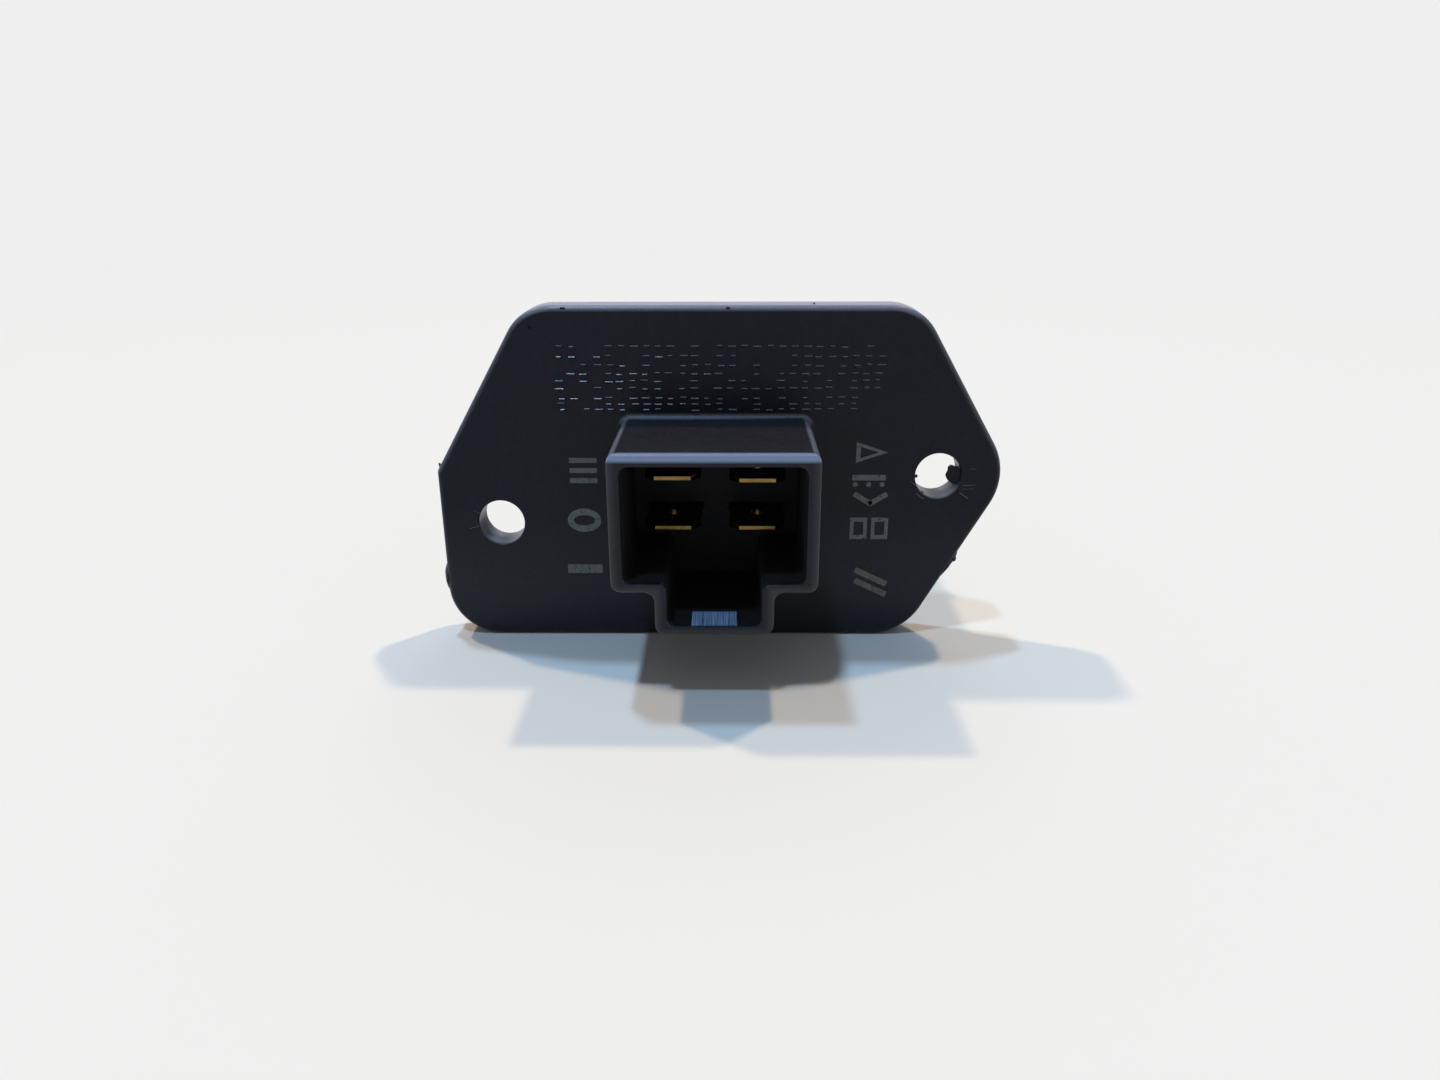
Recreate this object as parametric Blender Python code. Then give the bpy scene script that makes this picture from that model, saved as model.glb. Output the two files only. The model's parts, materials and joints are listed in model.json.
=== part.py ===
"""A blower motor resistor, in metres, with Z up.

A black moulded plate carries a T-shaped connector socket on its front (-Y) and the
resistor coils on its back (+Y). X runs along the plate. The origin is the middle of
the plate's lower edge, on which the part stands.
"""

from math import acos, atan2, ceil, cos, hypot, pi, radians, sin

import bmesh
import bpy
from mathutils import Vector

MM = 0.001

# Clearances
FIT = 0.3 * MM             # gap between pieces that touch
SLOT_FIT = 0.3 * MM        # gap on each side of a strip in its slot

# Plate
PLATE_THICK = 4.0 * MM
PLATE_LENGTH = 67.5 * MM
PLATE_HEIGHT = 40.8 * MM
FRONT_ROUND = 0.8 * MM     # rounding of the front rim
BACK_ROUND = 0.25 * MM
LEFT_CORNER_Z = 21.0 * MM
LEFT_CORNER_R = 1.1 * MM
TOP_LEFT_INSET = 14.8 * MM # from the plate's ends to the corner arcs' centres
TOP_RIGHT_INSET = 14.0 * MM
LOW_RIGHT_INSET = 14.6 * MM
TOP_CORNER_R = 6.0 * MM
LOW_LEFT_R = 6.2 * MM
LOW_RIGHT_R = 7.0 * MM
EAR_R = 7.5 * MM           # the right end is round about its hole
ARC_STEP = radians(12)

# Screw holes
SCREW_HOLE_R = 2.75 * MM
SCREW_HOLE_BREAK = 0.2 * MM
LEFT_HOLE_INSET = 7.4 * MM # from the plate's left edge
LEFT_HOLE_Z = 14.95 * MM
RIGHT_HOLE_Z = 20.85 * MM

# Connector socket
SOCKET_X = -0.25 * MM
SOCKET_LENGTH = 16.7 * MM
SOCKET_DEPTH = 16.2 * MM
SOCKET_TOP_Z = 27.95 * MM
STEM_WIDTH = 12.9 * MM
STEM_HEIGHT = 4.9 * MM
SIDE_WALL = 1.4 * MM
LOW_WALL = 1.05 * MM
OUTER_CORNER_R = 1.1 * MM
INNER_CORNER_R = 0.9 * MM
OUTER_LIP = 0.5 * MM
INNER_LIP = 0.3 * MM
ROOT_FILLET = 0.6 * MM

# Latch ramp in the socket's stem
RAMP_WIDTH = 4.9 * MM
RAMP_SETBACK = 0.5 * MM
RAMP_RISE = 0.9 * MM
RAMP_RUN = 1.4 * MM
RAMP_FLAT = 0.8 * MM

# Blade terminals
BLADE_WIDTH = 6.3 * MM
BLADE_THICK = 0.8 * MM
BLADE_FREE = 8.0 * MM      # length that stands out of the socket's floor
BLADE_TIP_WIDTH = 4.1 * MM
BLADE_TIP_THICK = 0.45 * MM
TIP_CHAMFER = 1.6 * MM
TIP_BEVEL = 1.0 * MM
DETENT_R = 0.9 * MM
DETENT_BACK = 4.6 * MM     # from the tip
COLUMN_PITCH = 9.5 * MM
ROW_PITCH = 5.55 * MM
UPPER_LEFT_LIFT = 0.25 * MM
SIDE_ROOM = 1.8 * MM       # from the blades to the socket's side walls
HEAD_ROOM = 3.75 * MM      # from the upper row's middle to the socket's roof
FOOT_ROOM = 3.55 * MM      # from the lower row's middle to the socket's shoulders

# Plinth on the plate's back
PLINTH_MARGIN = 2.5 * MM   # beyond the posts
PLINTH_HEAD = 1.0 * MM     # above the upper coil
PLINTH_LOW = 3.0 * MM
PLINTH_HEIGHT = 3.0 * MM
PLINTH_CORNER_R = 3.0 * MM
RIM_HEIGHT = 1.5 * MM
RIM_WIDTH = 1.4 * MM

# Tails, legs and posts behind the plinth
STRIP_THICK = 0.8 * MM
TAIL_LENGTH = 8.2 * MM
ARM_ROOM = 0.7 * MM        # from the plinth's rim to the arms
ARM_WIDTH = 5.0 * MM
POST_WIDTH = 5.0 * MM
POST_OUTER_X = 18.0 * MM
FOOT_MARGIN = 3.0 * MM     # from the rivet's axis to the foot's free side
TAB_WIDTH = 3.0 * MM
TAB_END = 1.6 * MM         # length of tab behind the card
POST_ROOT = 2.4 * MM       # length of the fuse post inside the moulding
FOOT_GAP = 1.0 * MM        # between the fuse post and the foot beside it

# Rivets
RIVET_R = 0.8 * MM
RIVET_HOLE_R = RIVET_R + FIT
RIVET_HEAD_R = 1.7 * MM
RIVET_HEAD_THICK = 0.7 * MM
RIVET_DOME = ((0, 1), (0.6, 0.9), (1, 0.55))   # shares of a head's thickness and radius

# Coils
UPPER_WIRE_R = 0.5 * MM
UPPER_COIL_R = 2.8 * MM    # to the middle of the wire
UPPER_TURNS = 10
LOWER_WIRE_R = 0.6 * MM
LOWER_COIL_R = 3.6 * MM
LOWER_TURNS = 7
LONG_COIL_GAP = 3.0 * MM   # between the turns and the posts
LONG_COIL_BACK = 15.0 * MM
TAIL_BEND = 1.3 * MM
TAIL_STEP = radians(24)
TAIL_STEPS = 4
SIDE_WIRE_R = 0.45 * MM
SIDE_COIL_ROOM = 2.3 * MM  # behind the blades' tails
SIDE_COIL_LENGTH = 10.5 * MM
SIDE_TURNS = 5
SIDE_GAP = 1.0 * MM        # between the side coil, or the fuse, and the posts
TURN_POINTS = 12
LUG_WIDTH = 2.6 * MM
LUG_REACH = 3.6 * MM
LUG_THICK = 0.6 * MM

# Thermal fuse
FUSE_R = 2.0 * MM
FUSE_LENGTH = 9.0 * MM
FUSE_ROOM = 2.0 * MM       # behind the blades' tails
FUSE_ROUND = 0.5 * MM
SEAL_LENGTH = 2.2 * MM
SEAL_TIP_R = 0.9 * MM
SEAL_SHOULDER = (0.35, 0.85)   # share of the seal's length, share of the fuse's radius
LEAD_R = 0.4 * MM
LEAD_BEND = 0.8 * MM
LEAD_STUB = 1.2 * MM       # straight run of lead before its first bend
LEAD_RISE_RUN = 1.6 * MM   # how far back the lead comes while it rises
LEAD_LAP = 3.8 * MM        # length of lead along the strip that it is welded to

# Support card
CARD_THICK = 1.2 * MM
CARD_ROOM = 1.3 * MM       # behind the fuse's back lead
CARD_SIDE = 1.6 * MM       # beyond the posts
CARD_INSET = 0.2 * MM      # the card's lower edge lies this far above the plinth's
CARD_MARGIN = 1.8 * MM     # from the strips to the card's top and to its window
CARD_CORNER_R = 1.6 * MM
WINDOW_JAMB = 2.0 * MM
WINDOW_SILL = 2.8 * MM
WINDOW_CORNER_R = 1.0 * MM

# Moulding faults
FLAP_REACH = 1.7 * MM      # how far the torn skin reaches into the right hole
FLAP_THICK = 0.7 * MM
FLAP_EDGE = (              # shares of the reach and of the hole's radius, from the top down
    (0.45, 0.5),
    (0.62, 0.22),
    (1, 0.3),
    (0.8, -0.05),
    (0.93, -0.28),
    (0.4, -0.42),
)
FLAP_ROOT = (0.66, -0.56)  # top and foot of its root, as shares of the hole's radius
BLISTER_Z = 7.5 * MM
BLISTER_HALF_LENGTH = 1.9 * MM
BLISTER_STAND = 0.45 * MM
BLISTER_SHAPE = ((-1, 0.3), (-0.7, 0.8), (0, 1), (0.7, 0.8), (1, 0.3))   # shares along, across
BURR_STAND = 0.45 * MM
BURR_HALF_LENGTH = 0.6 * MM
FAULT_SINK = 1.0 * MM      # depth to which a fault is rooted in the moulding

# Places that follow from the sizes
FRONT_Y = -PLATE_THICK / 2
BACK_Y = PLATE_THICK / 2
LEFT_EDGE = -PLATE_LENGTH / 2
RIGHT_EDGE = PLATE_LENGTH / 2
LEFT_HOLE = (LEFT_EDGE + LEFT_HOLE_INSET, LEFT_HOLE_Z)
RIGHT_HOLE = (RIGHT_EDGE - EAR_R, RIGHT_HOLE_Z)
SOCKET_WIDTH = COLUMN_PITCH + BLADE_WIDTH + 2 * (SIDE_ROOM + SIDE_WALL)
UPPER_ROW_Z = SOCKET_TOP_Z - SIDE_WALL - HEAD_ROOM
LOWER_ROW_Z = UPPER_ROW_Z - ROW_PITCH
SHOULDER_Z = LOWER_ROW_Z - FOOT_ROOM - LOW_WALL
STEM_LOW_Z = SHOULDER_Z - STEM_HEIGHT
COLUMN_LEFT_X = SOCKET_X - COLUMN_PITCH / 2
COLUMN_RIGHT_X = SOCKET_X + COLUMN_PITCH / 2
MOUTH_Y = FRONT_Y - SOCKET_LENGTH
FLOOR_Y = MOUTH_Y + SOCKET_DEPTH
PLINTH_Y = BACK_Y + PLINTH_HEIGHT
BLADE_TIP_Y = FLOOR_Y - BLADE_FREE
ARM_Y = PLINTH_Y + RIM_HEIGHT + ARM_ROOM
RIVET_Y = ARM_Y + ARM_WIDTH / 2
TAIL_Y = PLINTH_Y + TAIL_LENGTH
POST_INNER_X = POST_OUTER_X - POST_WIDTH
FUSE_Y = TAIL_Y + FUSE_ROOM
SEAL_Y = FUSE_Y + FUSE_LENGTH + FIT
BACK_LEAD_Y = SEAL_Y + SEAL_LENGTH + FIT
SHOULDER_Y = BACK_LEAD_Y + LEAD_STUB + LEAD_RISE_RUN + LEAD_R + CARD_ROOM
CARD_Y = SHOULDER_Y + FIT
CARD_HALF_WIDTH = POST_OUTER_X + CARD_SIDE
CARD_LOW = PLINTH_LOW + CARD_INSET
LONG_COIL_Y = PLINTH_Y + LONG_COIL_BACK
BLADES = {
    "upper_left": (COLUMN_LEFT_X, UPPER_ROW_Z + UPPER_LEFT_LIFT, 1),
    "upper_right": (COLUMN_RIGHT_X, UPPER_ROW_Z, 1),
    "lower_left": (COLUMN_LEFT_X, LOWER_ROW_Z, -1),
    "lower_right": (COLUMN_RIGHT_X, LOWER_ROW_Z, -1),
}
LONG_COILS = {
    "upper": (UPPER_WIRE_R, UPPER_COIL_R, UPPER_TURNS),
    "lower": (LOWER_WIRE_R, LOWER_COIL_R, LOWER_TURNS),
}


# Outlines

def hull_of_circles(circles, grow=0.0):
    """Outline round circles (x, z, radius) listed anticlockwise, moved out by grow."""
    normals = []
    for (x, z, r), (next_x, next_z, next_r) in zip(circles, circles[1:] + circles[:1]):
        span = hypot(next_x - x, next_z - z)
        normals.append(atan2(next_z - z, next_x - x) - acos((r - next_r) / span))
    points = []
    for index, (x, z, r) in enumerate(circles):
        start = normals[index - 1]
        sweep = (normals[index] - start) % (2 * pi)
        steps = max(1, ceil(sweep / ARC_STEP))
        for step in range(steps + 1):
            angle = start + sweep * step / steps
            points.append((x + (r + grow) * cos(angle), z + (r + grow) * sin(angle)))
    return points


def rounded_outline(corners, grow=0.0, steps=3):
    """Polygon of corners (x, z, radius) listed anticlockwise, with round corners, moved out by grow."""
    points = []
    for index, (x, z, radius) in enumerate(corners):
        before = corners[index - 1]
        after = corners[(index + 1) % len(corners)]
        way_in = Vector((x - before[0], z - before[1])).normalized()
        way_out = Vector((after[0] - x, after[1] - z)).normalized()
        normal_in = Vector((way_in.y, -way_in.x))
        normal_out = Vector((way_out.y, -way_out.x))
        turn = atan2(way_in.x * way_out.y - way_in.y * way_out.x, way_in.dot(way_out))
        side = 1 if turn > 0 else -1
        mitre = (normal_in + normal_out) / (1 + normal_in.dot(normal_out))
        r = radius + side * grow
        centre = Vector((x, z)) + mitre * (grow - side * r)
        for step in range(steps + 1):
            angle = turn * step / steps
            spoke = Vector((normal_in.x * cos(angle) - normal_in.y * sin(angle),
                            normal_in.x * sin(angle) + normal_in.y * cos(angle)))
            points.append(tuple(centre + spoke * side * r))
    return points


def box_corners(low_x, high_x, low_z, high_z, radius):
    places = [(low_x, high_z), (low_x, low_z), (high_x, low_z), (high_x, high_z)]
    return [(x, z, radius) for x, z in places]


def quarter(radius, steps=3):
    """Points (along, across) of a quarter round, from the side (0, radius) to the end (radius, 0)."""
    angles = [pi / 2 * step / steps for step in range(steps + 1)]
    return [(radius * sin(angle), radius * cos(angle)) for angle in angles]


# Solids

def upright(points, y):
    """Points (x, z) as a ring in the plane of the plate."""
    return [Vector((x, y, z)) for x, z in points]


def flat(points, z):
    """Points (x, y) as a level ring."""
    return [Vector((x, y, z)) for x, y in points]


def add_loft(mesh, rings):
    """Join rings of equal length by quads and close both ends."""
    loops = [[mesh.verts.new(point) for point in ring] for ring in rings]
    for near, far in zip(loops, loops[1:]):
        for index, vertex in enumerate(near):
            mesh.faces.new((near[index - 1], vertex, far[index], far[index - 1]))
    mesh.faces.new(loops[0])
    mesh.faces.new(loops[-1])


def add_box(mesh, low, high):
    outline = [(low[0], low[1]), (high[0], low[1]), (high[0], high[1]), (low[0], high[1])]
    add_loft(mesh, [flat(outline, low[2]), flat(outline, high[2])])


def add_turned(mesh, centre, axis, profile, sides=20):
    """Turn a profile of (along, radius) pairs about an axis through centre."""
    across = axis.orthogonal().normalized()
    up = axis.cross(across)
    rings = []
    for along, radius in profile:
        ring = []
        for side in range(sides):
            angle = 2 * pi * side / sides
            ring.append(centre + axis * along + (across * cos(angle) + up * sin(angle)) * radius)
        rings.append(ring)
    add_loft(mesh, rings)


def new_object(name, mesh, material=None):
    """Turn a bmesh into an object with its faces pointing out."""
    bmesh.ops.recalc_face_normals(mesh, faces=mesh.faces)
    data = bpy.data.meshes.new(name)
    mesh.to_mesh(data)
    mesh.free()
    data.shade_smooth()
    data.set_sharp_from_angle(angle=radians(30))
    item = bpy.data.objects.new(name, data)
    bpy.context.scene.collection.objects.link(item)
    if material:
        data.materials.append(material)
    return item


def new_helper(name, mesh):
    """An object that only cuts or joins others."""
    item = new_object(name, mesh)
    item.hide_render = True
    item.display_type = "WIRE"
    return item


def combine(item, other, operation):
    step = item.modifiers.new(other.name, "BOOLEAN")
    step.operation = operation
    step.object = other


def new_material(name, colour, metallic, roughness):
    material = bpy.data.materials.new(name)
    material.use_nodes = True
    shader = material.node_tree.nodes["Principled BSDF"]
    shader.inputs["Base Color"].default_value = (*colour, 1)
    shader.inputs["Metallic"].default_value = metallic
    shader.inputs["Roughness"].default_value = roughness
    return material


def new_wire(name, points, radius, material):
    """A round wire through points."""
    curve = bpy.data.curves.new(name, "CURVE")
    curve.dimensions = "3D"
    curve.bevel_depth = radius
    curve.bevel_resolution = 1
    curve.use_fill_caps = True
    spline = curve.splines.new("POLY")
    spline.points.add(len(points) - 1)
    for point, place in zip(spline.points, points):
        point.co = (*place, 1)
    curve.materials.append(material)
    item = bpy.data.objects.new(name, curve)
    bpy.context.scene.collection.objects.link(item)
    return item


def bent_path(points, bend, steps=3):
    """Points with each inner corner replaced by an arc of radius bend."""
    path = [points[0]]
    for before, corner, after in zip(points, points[1:], points[2:]):
        way_in = (corner - before).normalized()
        way_out = (after - corner).normalized()
        turn = way_in.angle(way_out)
        cut = bend * sin(turn / 2) / cos(turn / 2)
        start = corner - way_in * cut
        inward = (way_out - way_in * way_out.dot(way_in)).normalized()
        for step in range(steps + 1):
            angle = turn * step / steps
            path.append(start + way_in * bend * sin(angle) + inward * bend * (1 - cos(angle)))
    path.append(points[-1])
    return path


# Moulding

def plate_circles():
    """The circles (x, z, radius) of the plate's six corners."""
    right_x, right_z = RIGHT_HOLE
    top_z = PLATE_HEIGHT - TOP_CORNER_R
    return [
        (LEFT_EDGE + LOW_LEFT_R, LOW_LEFT_R, LOW_LEFT_R),
        (RIGHT_EDGE - LOW_RIGHT_INSET, LOW_RIGHT_R, LOW_RIGHT_R),
        (right_x, right_z, EAR_R),
        (RIGHT_EDGE - TOP_RIGHT_INSET, top_z, TOP_CORNER_R),
        (LEFT_EDGE + TOP_LEFT_INSET, top_z, TOP_CORNER_R),
        (LEFT_EDGE + LEFT_CORNER_R, LEFT_CORNER_Z, LEFT_CORNER_R),
    ]


def make_plate_body():
    circles = plate_circles()
    rings = []
    for along, across in reversed(quarter(FRONT_ROUND)):
        rings.append(upright(hull_of_circles(circles, across - FRONT_ROUND), FRONT_Y + FRONT_ROUND - along))
    rings.append(upright(hull_of_circles(circles), BACK_Y - BACK_ROUND))
    rings.append(upright(hull_of_circles(circles, -BACK_ROUND), BACK_Y))
    mesh = bmesh.new()
    add_loft(mesh, rings)
    return new_object("mounting_plate", mesh, new_material("black_moulding", (0.016, 0.017, 0.022), 0, 0.38))


def socket_tee(side_wall, low_wall, radius):
    """The T-shaped section, taken in from the outside by the walls."""
    half = SOCKET_WIDTH / 2 - side_wall
    stem = STEM_WIDTH / 2 - side_wall
    top = SOCKET_TOP_Z - side_wall
    shoulder = SHOULDER_Z + low_wall
    low = STEM_LOW_Z + low_wall
    places = [(-half, top), (-half, shoulder), (-stem, shoulder), (-stem, low),
              (stem, low), (stem, shoulder), (half, shoulder), (half, top)]
    return [(SOCKET_X + x, z, radius) for x, z in places]


def make_socket():
    outer = socket_tee(0, 0, OUTER_CORNER_R)
    inner = socket_tee(SIDE_WALL, LOW_WALL, INNER_CORNER_R)
    rings = [upright(rounded_outline(outer, ROOT_FILLET), 0)]
    for along, across in reversed(quarter(ROOT_FILLET)):
        rings.append(upright(rounded_outline(outer, ROOT_FILLET - across), FRONT_Y - ROOT_FILLET + along))
    for along, across in quarter(OUTER_LIP):
        rings.append(upright(rounded_outline(outer, across - OUTER_LIP), MOUTH_Y + OUTER_LIP - along))
    for along, across in reversed(quarter(INNER_LIP)):
        rings.append(upright(rounded_outline(inner, INNER_LIP - across), MOUTH_Y + INNER_LIP - along))
    rings.append(upright(rounded_outline(inner), FLOOR_Y))
    mesh = bmesh.new()
    add_loft(mesh, rings)
    return new_helper("join_socket", mesh)


def make_latch_ramp():
    floor_z = STEM_LOW_Z + LOW_WALL
    start = MOUTH_Y + RAMP_SETBACK
    crest = start + RAMP_RUN
    end = crest + RAMP_FLAT
    root = floor_z - LOW_WALL / 2
    top = floor_z + RAMP_RISE
    section = [(start, root), (end, root), (end, top), (crest, top), (start, floor_z)]
    rings = []
    for side in (-1, 1):
        x = SOCKET_X + side * RAMP_WIDTH / 2
        rings.append([Vector((x, y, z)) for y, z in section])
    mesh = bmesh.new()
    add_loft(mesh, rings)
    return new_helper("join_latch_ramp", mesh)


def make_plinth():
    half = POST_OUTER_X + PLINTH_MARGIN
    top = coil_axis_z("upper") + UPPER_COIL_R + UPPER_WIRE_R + PLINTH_HEAD
    corners = box_corners(-half, half, PLINTH_LOW, top, PLINTH_CORNER_R)
    rim_y = PLINTH_Y + RIM_HEIGHT
    mesh = bmesh.new()
    add_loft(mesh, [
        upright(rounded_outline(corners), 0),
        upright(rounded_outline(corners), rim_y),
        upright(rounded_outline(corners, -RIM_WIDTH), rim_y),
        upright(rounded_outline(corners, -RIM_WIDTH), PLINTH_Y),
    ])
    return new_helper("join_plinth", mesh)


def make_slot_cutter():
    mesh = bmesh.new()
    half_width = BLADE_WIDTH / 2 + SLOT_FIT
    half_thick = BLADE_THICK / 2 + SLOT_FIT
    for x, z, _ in BLADES.values():
        add_box(mesh, (x - half_width, FLOOR_Y - SLOT_FIT, z - half_thick),
                (x + half_width, PLINTH_Y + SLOT_FIT, z + half_thick))
    low_z, high_z = strip_faces("upper_right")
    add_box(mesh, (-POST_OUTER_X - SLOT_FIT, PLINTH_Y - POST_ROOT - SLOT_FIT, low_z - SLOT_FIT),
            (-POST_INNER_X + SLOT_FIT, PLINTH_Y + SLOT_FIT, high_z + SLOT_FIT))
    return new_helper("cut_slots", mesh)


def make_screw_hole_cutter():
    mesh = bmesh.new()
    wide = SCREW_HOLE_R + SCREW_HOLE_BREAK
    past = SCREW_HOLE_BREAK
    profile = [(-past, wide), (0, wide), (SCREW_HOLE_BREAK, SCREW_HOLE_R), (PLATE_THICK + past, SCREW_HOLE_R)]
    for x, z in (LEFT_HOLE, RIGHT_HOLE):
        add_turned(mesh, Vector((x, FRONT_Y, z)), Vector((0, 1, 0)), profile, sides=28)
    return new_helper("cut_screw_holes", mesh)


def make_flap():
    """The torn skin of plastic that stands into the right screw hole."""
    x, z = RIGHT_HOLE
    edge = x + SCREW_HOLE_R
    top, foot = FLAP_ROOT
    outline = [(edge + FAULT_SINK, z + SCREW_HOLE_R * top)]
    outline += [(edge - FLAP_REACH * inward, z + SCREW_HOLE_R * up) for inward, up in FLAP_EDGE]
    outline.append((edge + FAULT_SINK, z + SCREW_HOLE_R * foot))
    middle = FRONT_Y + PLATE_THICK / 3
    mesh = bmesh.new()
    add_loft(mesh, [upright(outline, middle), upright(outline, middle + FLAP_THICK)])
    return new_helper("join_torn_flap", mesh)


def make_blister():
    """A long bump on the plate's left edge."""
    mesh = bmesh.new()
    depth = FAULT_SINK + BLISTER_STAND
    profile = [(BLISTER_HALF_LENGTH * along, depth * across) for along, across in BLISTER_SHAPE]
    add_turned(mesh, Vector((LEFT_EDGE + FAULT_SINK, 0, BLISTER_Z)), Vector((0, 0, 1)), profile, sides=14)
    return new_helper("join_blister", mesh)


def make_corner_burr():
    """A spike of flash at the plate's left corner."""
    x = LEFT_EDGE
    z = LEFT_CORNER_Z
    outline = [(x + FAULT_SINK, z - BURR_HALF_LENGTH), (x + FAULT_SINK, z + BURR_HALF_LENGTH),
               (x - BURR_STAND, z + BURR_HALF_LENGTH * 0.8), (x - BURR_STAND * 0.4, z - BURR_HALF_LENGTH)]
    mesh = bmesh.new()
    add_loft(mesh, [upright(outline, FRONT_Y + FRONT_ROUND), upright(outline, 0)])
    return new_helper("join_corner_burr", mesh)


def make_mounting_plate():
    plate = make_plate_body()
    for part in (make_socket(), make_latch_ramp(), make_plinth(), make_blister(), make_corner_burr()):
        combine(plate, part, "UNION")
    combine(plate, make_slot_cutter(), "DIFFERENCE")
    combine(plate, make_screw_hole_cutter(), "DIFFERENCE")
    combine(plate, make_flap(), "UNION")


# Terminals and legs

def strip_faces(place):
    """Lower and upper face of the strip that lies on a blade's tail."""
    _, z, side = BLADES[place]
    near = z + side * (BLADE_THICK / 2 + FIT)
    far = near + side * STRIP_THICK
    return min(near, far), max(near, far)


def make_blade(place):
    x, z, _ = BLADES[place]
    half = BLADE_WIDTH / 2
    half_tip = BLADE_TIP_WIDTH / 2
    half_thick = BLADE_THICK / 2
    half_at_bevel = half_tip + (half - half_tip) * TIP_BEVEL / TIP_CHAMFER
    sections = [
        (BLADE_TIP_Y, half_tip, BLADE_TIP_THICK / 2),
        (BLADE_TIP_Y + TIP_BEVEL, half_at_bevel, half_thick),
        (BLADE_TIP_Y + TIP_CHAMFER, half, half_thick),
        (TAIL_Y, half, half_thick),
    ]
    rings = []
    for y, w, t in sections:
        rings.append([Vector((x - w, y, z - t)), Vector((x + w, y, z - t)),
                      Vector((x + w, y, z + t)), Vector((x - w, y, z + t))])
    mesh = bmesh.new()
    add_loft(mesh, rings)
    blade = new_object("blade_" + place, mesh, new_material("brass_" + place, (0.62, 0.44, 0.14), 1, 0.32))
    holes = bmesh.new()
    for y, radius in ((BLADE_TIP_Y + DETENT_BACK, DETENT_R), (RIVET_Y, RIVET_HOLE_R)):
        profile = [(-BLADE_THICK, radius), (BLADE_THICK, radius)]
        add_turned(holes, Vector((x, y, z)), Vector((0, 0, 1)), profile, sides=16)
    combine(blade, new_helper("cut_blade_" + place, holes), "DIFFERENCE")


def post_end(side):
    """Outline of a post's shoulders and tab, from its outer side to its inner side."""
    outer_tab = POST_OUTER_X - (POST_WIDTH - TAB_WIDTH) / 2
    inner_tab = outer_tab - TAB_WIDTH
    end = CARD_Y + CARD_THICK + TAB_END
    places = [(POST_OUTER_X, SHOULDER_Y), (outer_tab, SHOULDER_Y), (outer_tab, end),
              (inner_tab, end), (inner_tab, SHOULDER_Y), (POST_INNER_X, SHOULDER_Y)]
    return [(side * x, y) for x, y in places]


def add_lug(mesh, side, face, up, y, wire_r):
    """The folded end of a strip that grips a coil's tail: a riser and a lip over the wire."""
    gap = 2 * (wire_r + FIT)
    root = face - up * STRIP_THICK
    top = face + up * (gap + LUG_THICK)
    lip = face + up * gap
    outer = side * POST_OUTER_X
    riser = side * (POST_OUTER_X - STRIP_THICK)
    reach = side * (POST_OUTER_X - LUG_REACH)
    section = [(outer, root), (outer, top), (reach, top), (reach, lip), (riser, lip), (riser, root)]
    add_loft(mesh, [upright(section, y - LUG_WIDTH / 2), upright(section, y + LUG_WIDTH / 2)])


def tail_y(side):
    """A long coil's tails leave it a bend in front of, or behind, its axis."""
    return LONG_COIL_Y + side * TAIL_BEND


def make_strip(name, outline, faces, material):
    mesh = bmesh.new()
    add_loft(mesh, [flat(outline, faces[0]), flat(outline, faces[1])])
    return new_object(name, mesh, material)


def outer_face(row):
    """The strips' face that looks away from the other row, and the way it looks."""
    up = BLADES[row + "_right"][2]
    faces = strip_faces(row + "_right")
    return (faces[1] if up > 0 else faces[0]), up


def join_lug(strip, row, side):
    mesh = bmesh.new()
    face, up = outer_face(row)
    add_lug(mesh, side, face, up, tail_y(side), LONG_COILS[row][0])
    combine(strip, new_helper("join_lug_" + strip.name, mesh), "UNION")


def cut_rivet_hole(strip, x, z):
    mesh = bmesh.new()
    profile = [(-BLADE_THICK - 2 * STRIP_THICK, RIVET_HOLE_R), (BLADE_THICK + 2 * STRIP_THICK, RIVET_HOLE_R)]
    add_turned(mesh, Vector((x, RIVET_Y, z)), Vector((0, 0, 1)), profile, sides=16)
    combine(strip, new_helper("cut_rivet_" + strip.name, mesh), "DIFFERENCE")


def make_leg(place):
    """An L-shaped strip: a foot on the blade's tail, an arm to the side and a post to the back."""
    x, z, _ = BLADES[place]
    row = place.split("_")[0]
    side = 1 if place.endswith("right") else -1
    inner = x - side * FOOT_MARGIN
    end = ARM_Y + ARM_WIDTH
    outline = [(inner, ARM_Y), (side * POST_OUTER_X, ARM_Y)] + post_end(side)
    outline += [(side * POST_INNER_X, end), (inner, end)]
    steel = new_material("plated_steel_" + place, (0.52, 0.50, 0.46), 1, 0.36)
    leg = make_strip("leg_" + place, outline, strip_faces(place), steel)
    join_lug(leg, row, side)
    cut_rivet_hole(leg, x, z)


def make_fuse_foot():
    """The short strip on the upper left blade, which takes the fuse's lead."""
    x, z, _ = BLADES["upper_left"]
    left = -POST_INNER_X + FOOT_GAP
    right = x + FOOT_MARGIN
    end = ARM_Y + ARM_WIDTH
    outline = [(left, ARM_Y), (right, ARM_Y), (right, end), (left, end)]
    steel = new_material("plated_steel_fuse_foot", (0.52, 0.50, 0.46), 1, 0.36)
    foot = make_strip("fuse_foot", outline, strip_faces("upper_left"), steel)
    cut_rivet_hole(foot, x, z)


def make_fuse_post():
    """The post between the fuse and the upper coil, rooted in the moulding."""
    root = PLINTH_Y - POST_ROOT
    outline = [(-POST_INNER_X, root), (-POST_OUTER_X, root)] + post_end(-1)
    steel = new_material("plated_steel_fuse_post", (0.52, 0.50, 0.46), 1, 0.36)
    post = make_strip("fuse_post", outline, strip_faces("upper_right"), steel)
    join_lug(post, "upper", -1)


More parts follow.
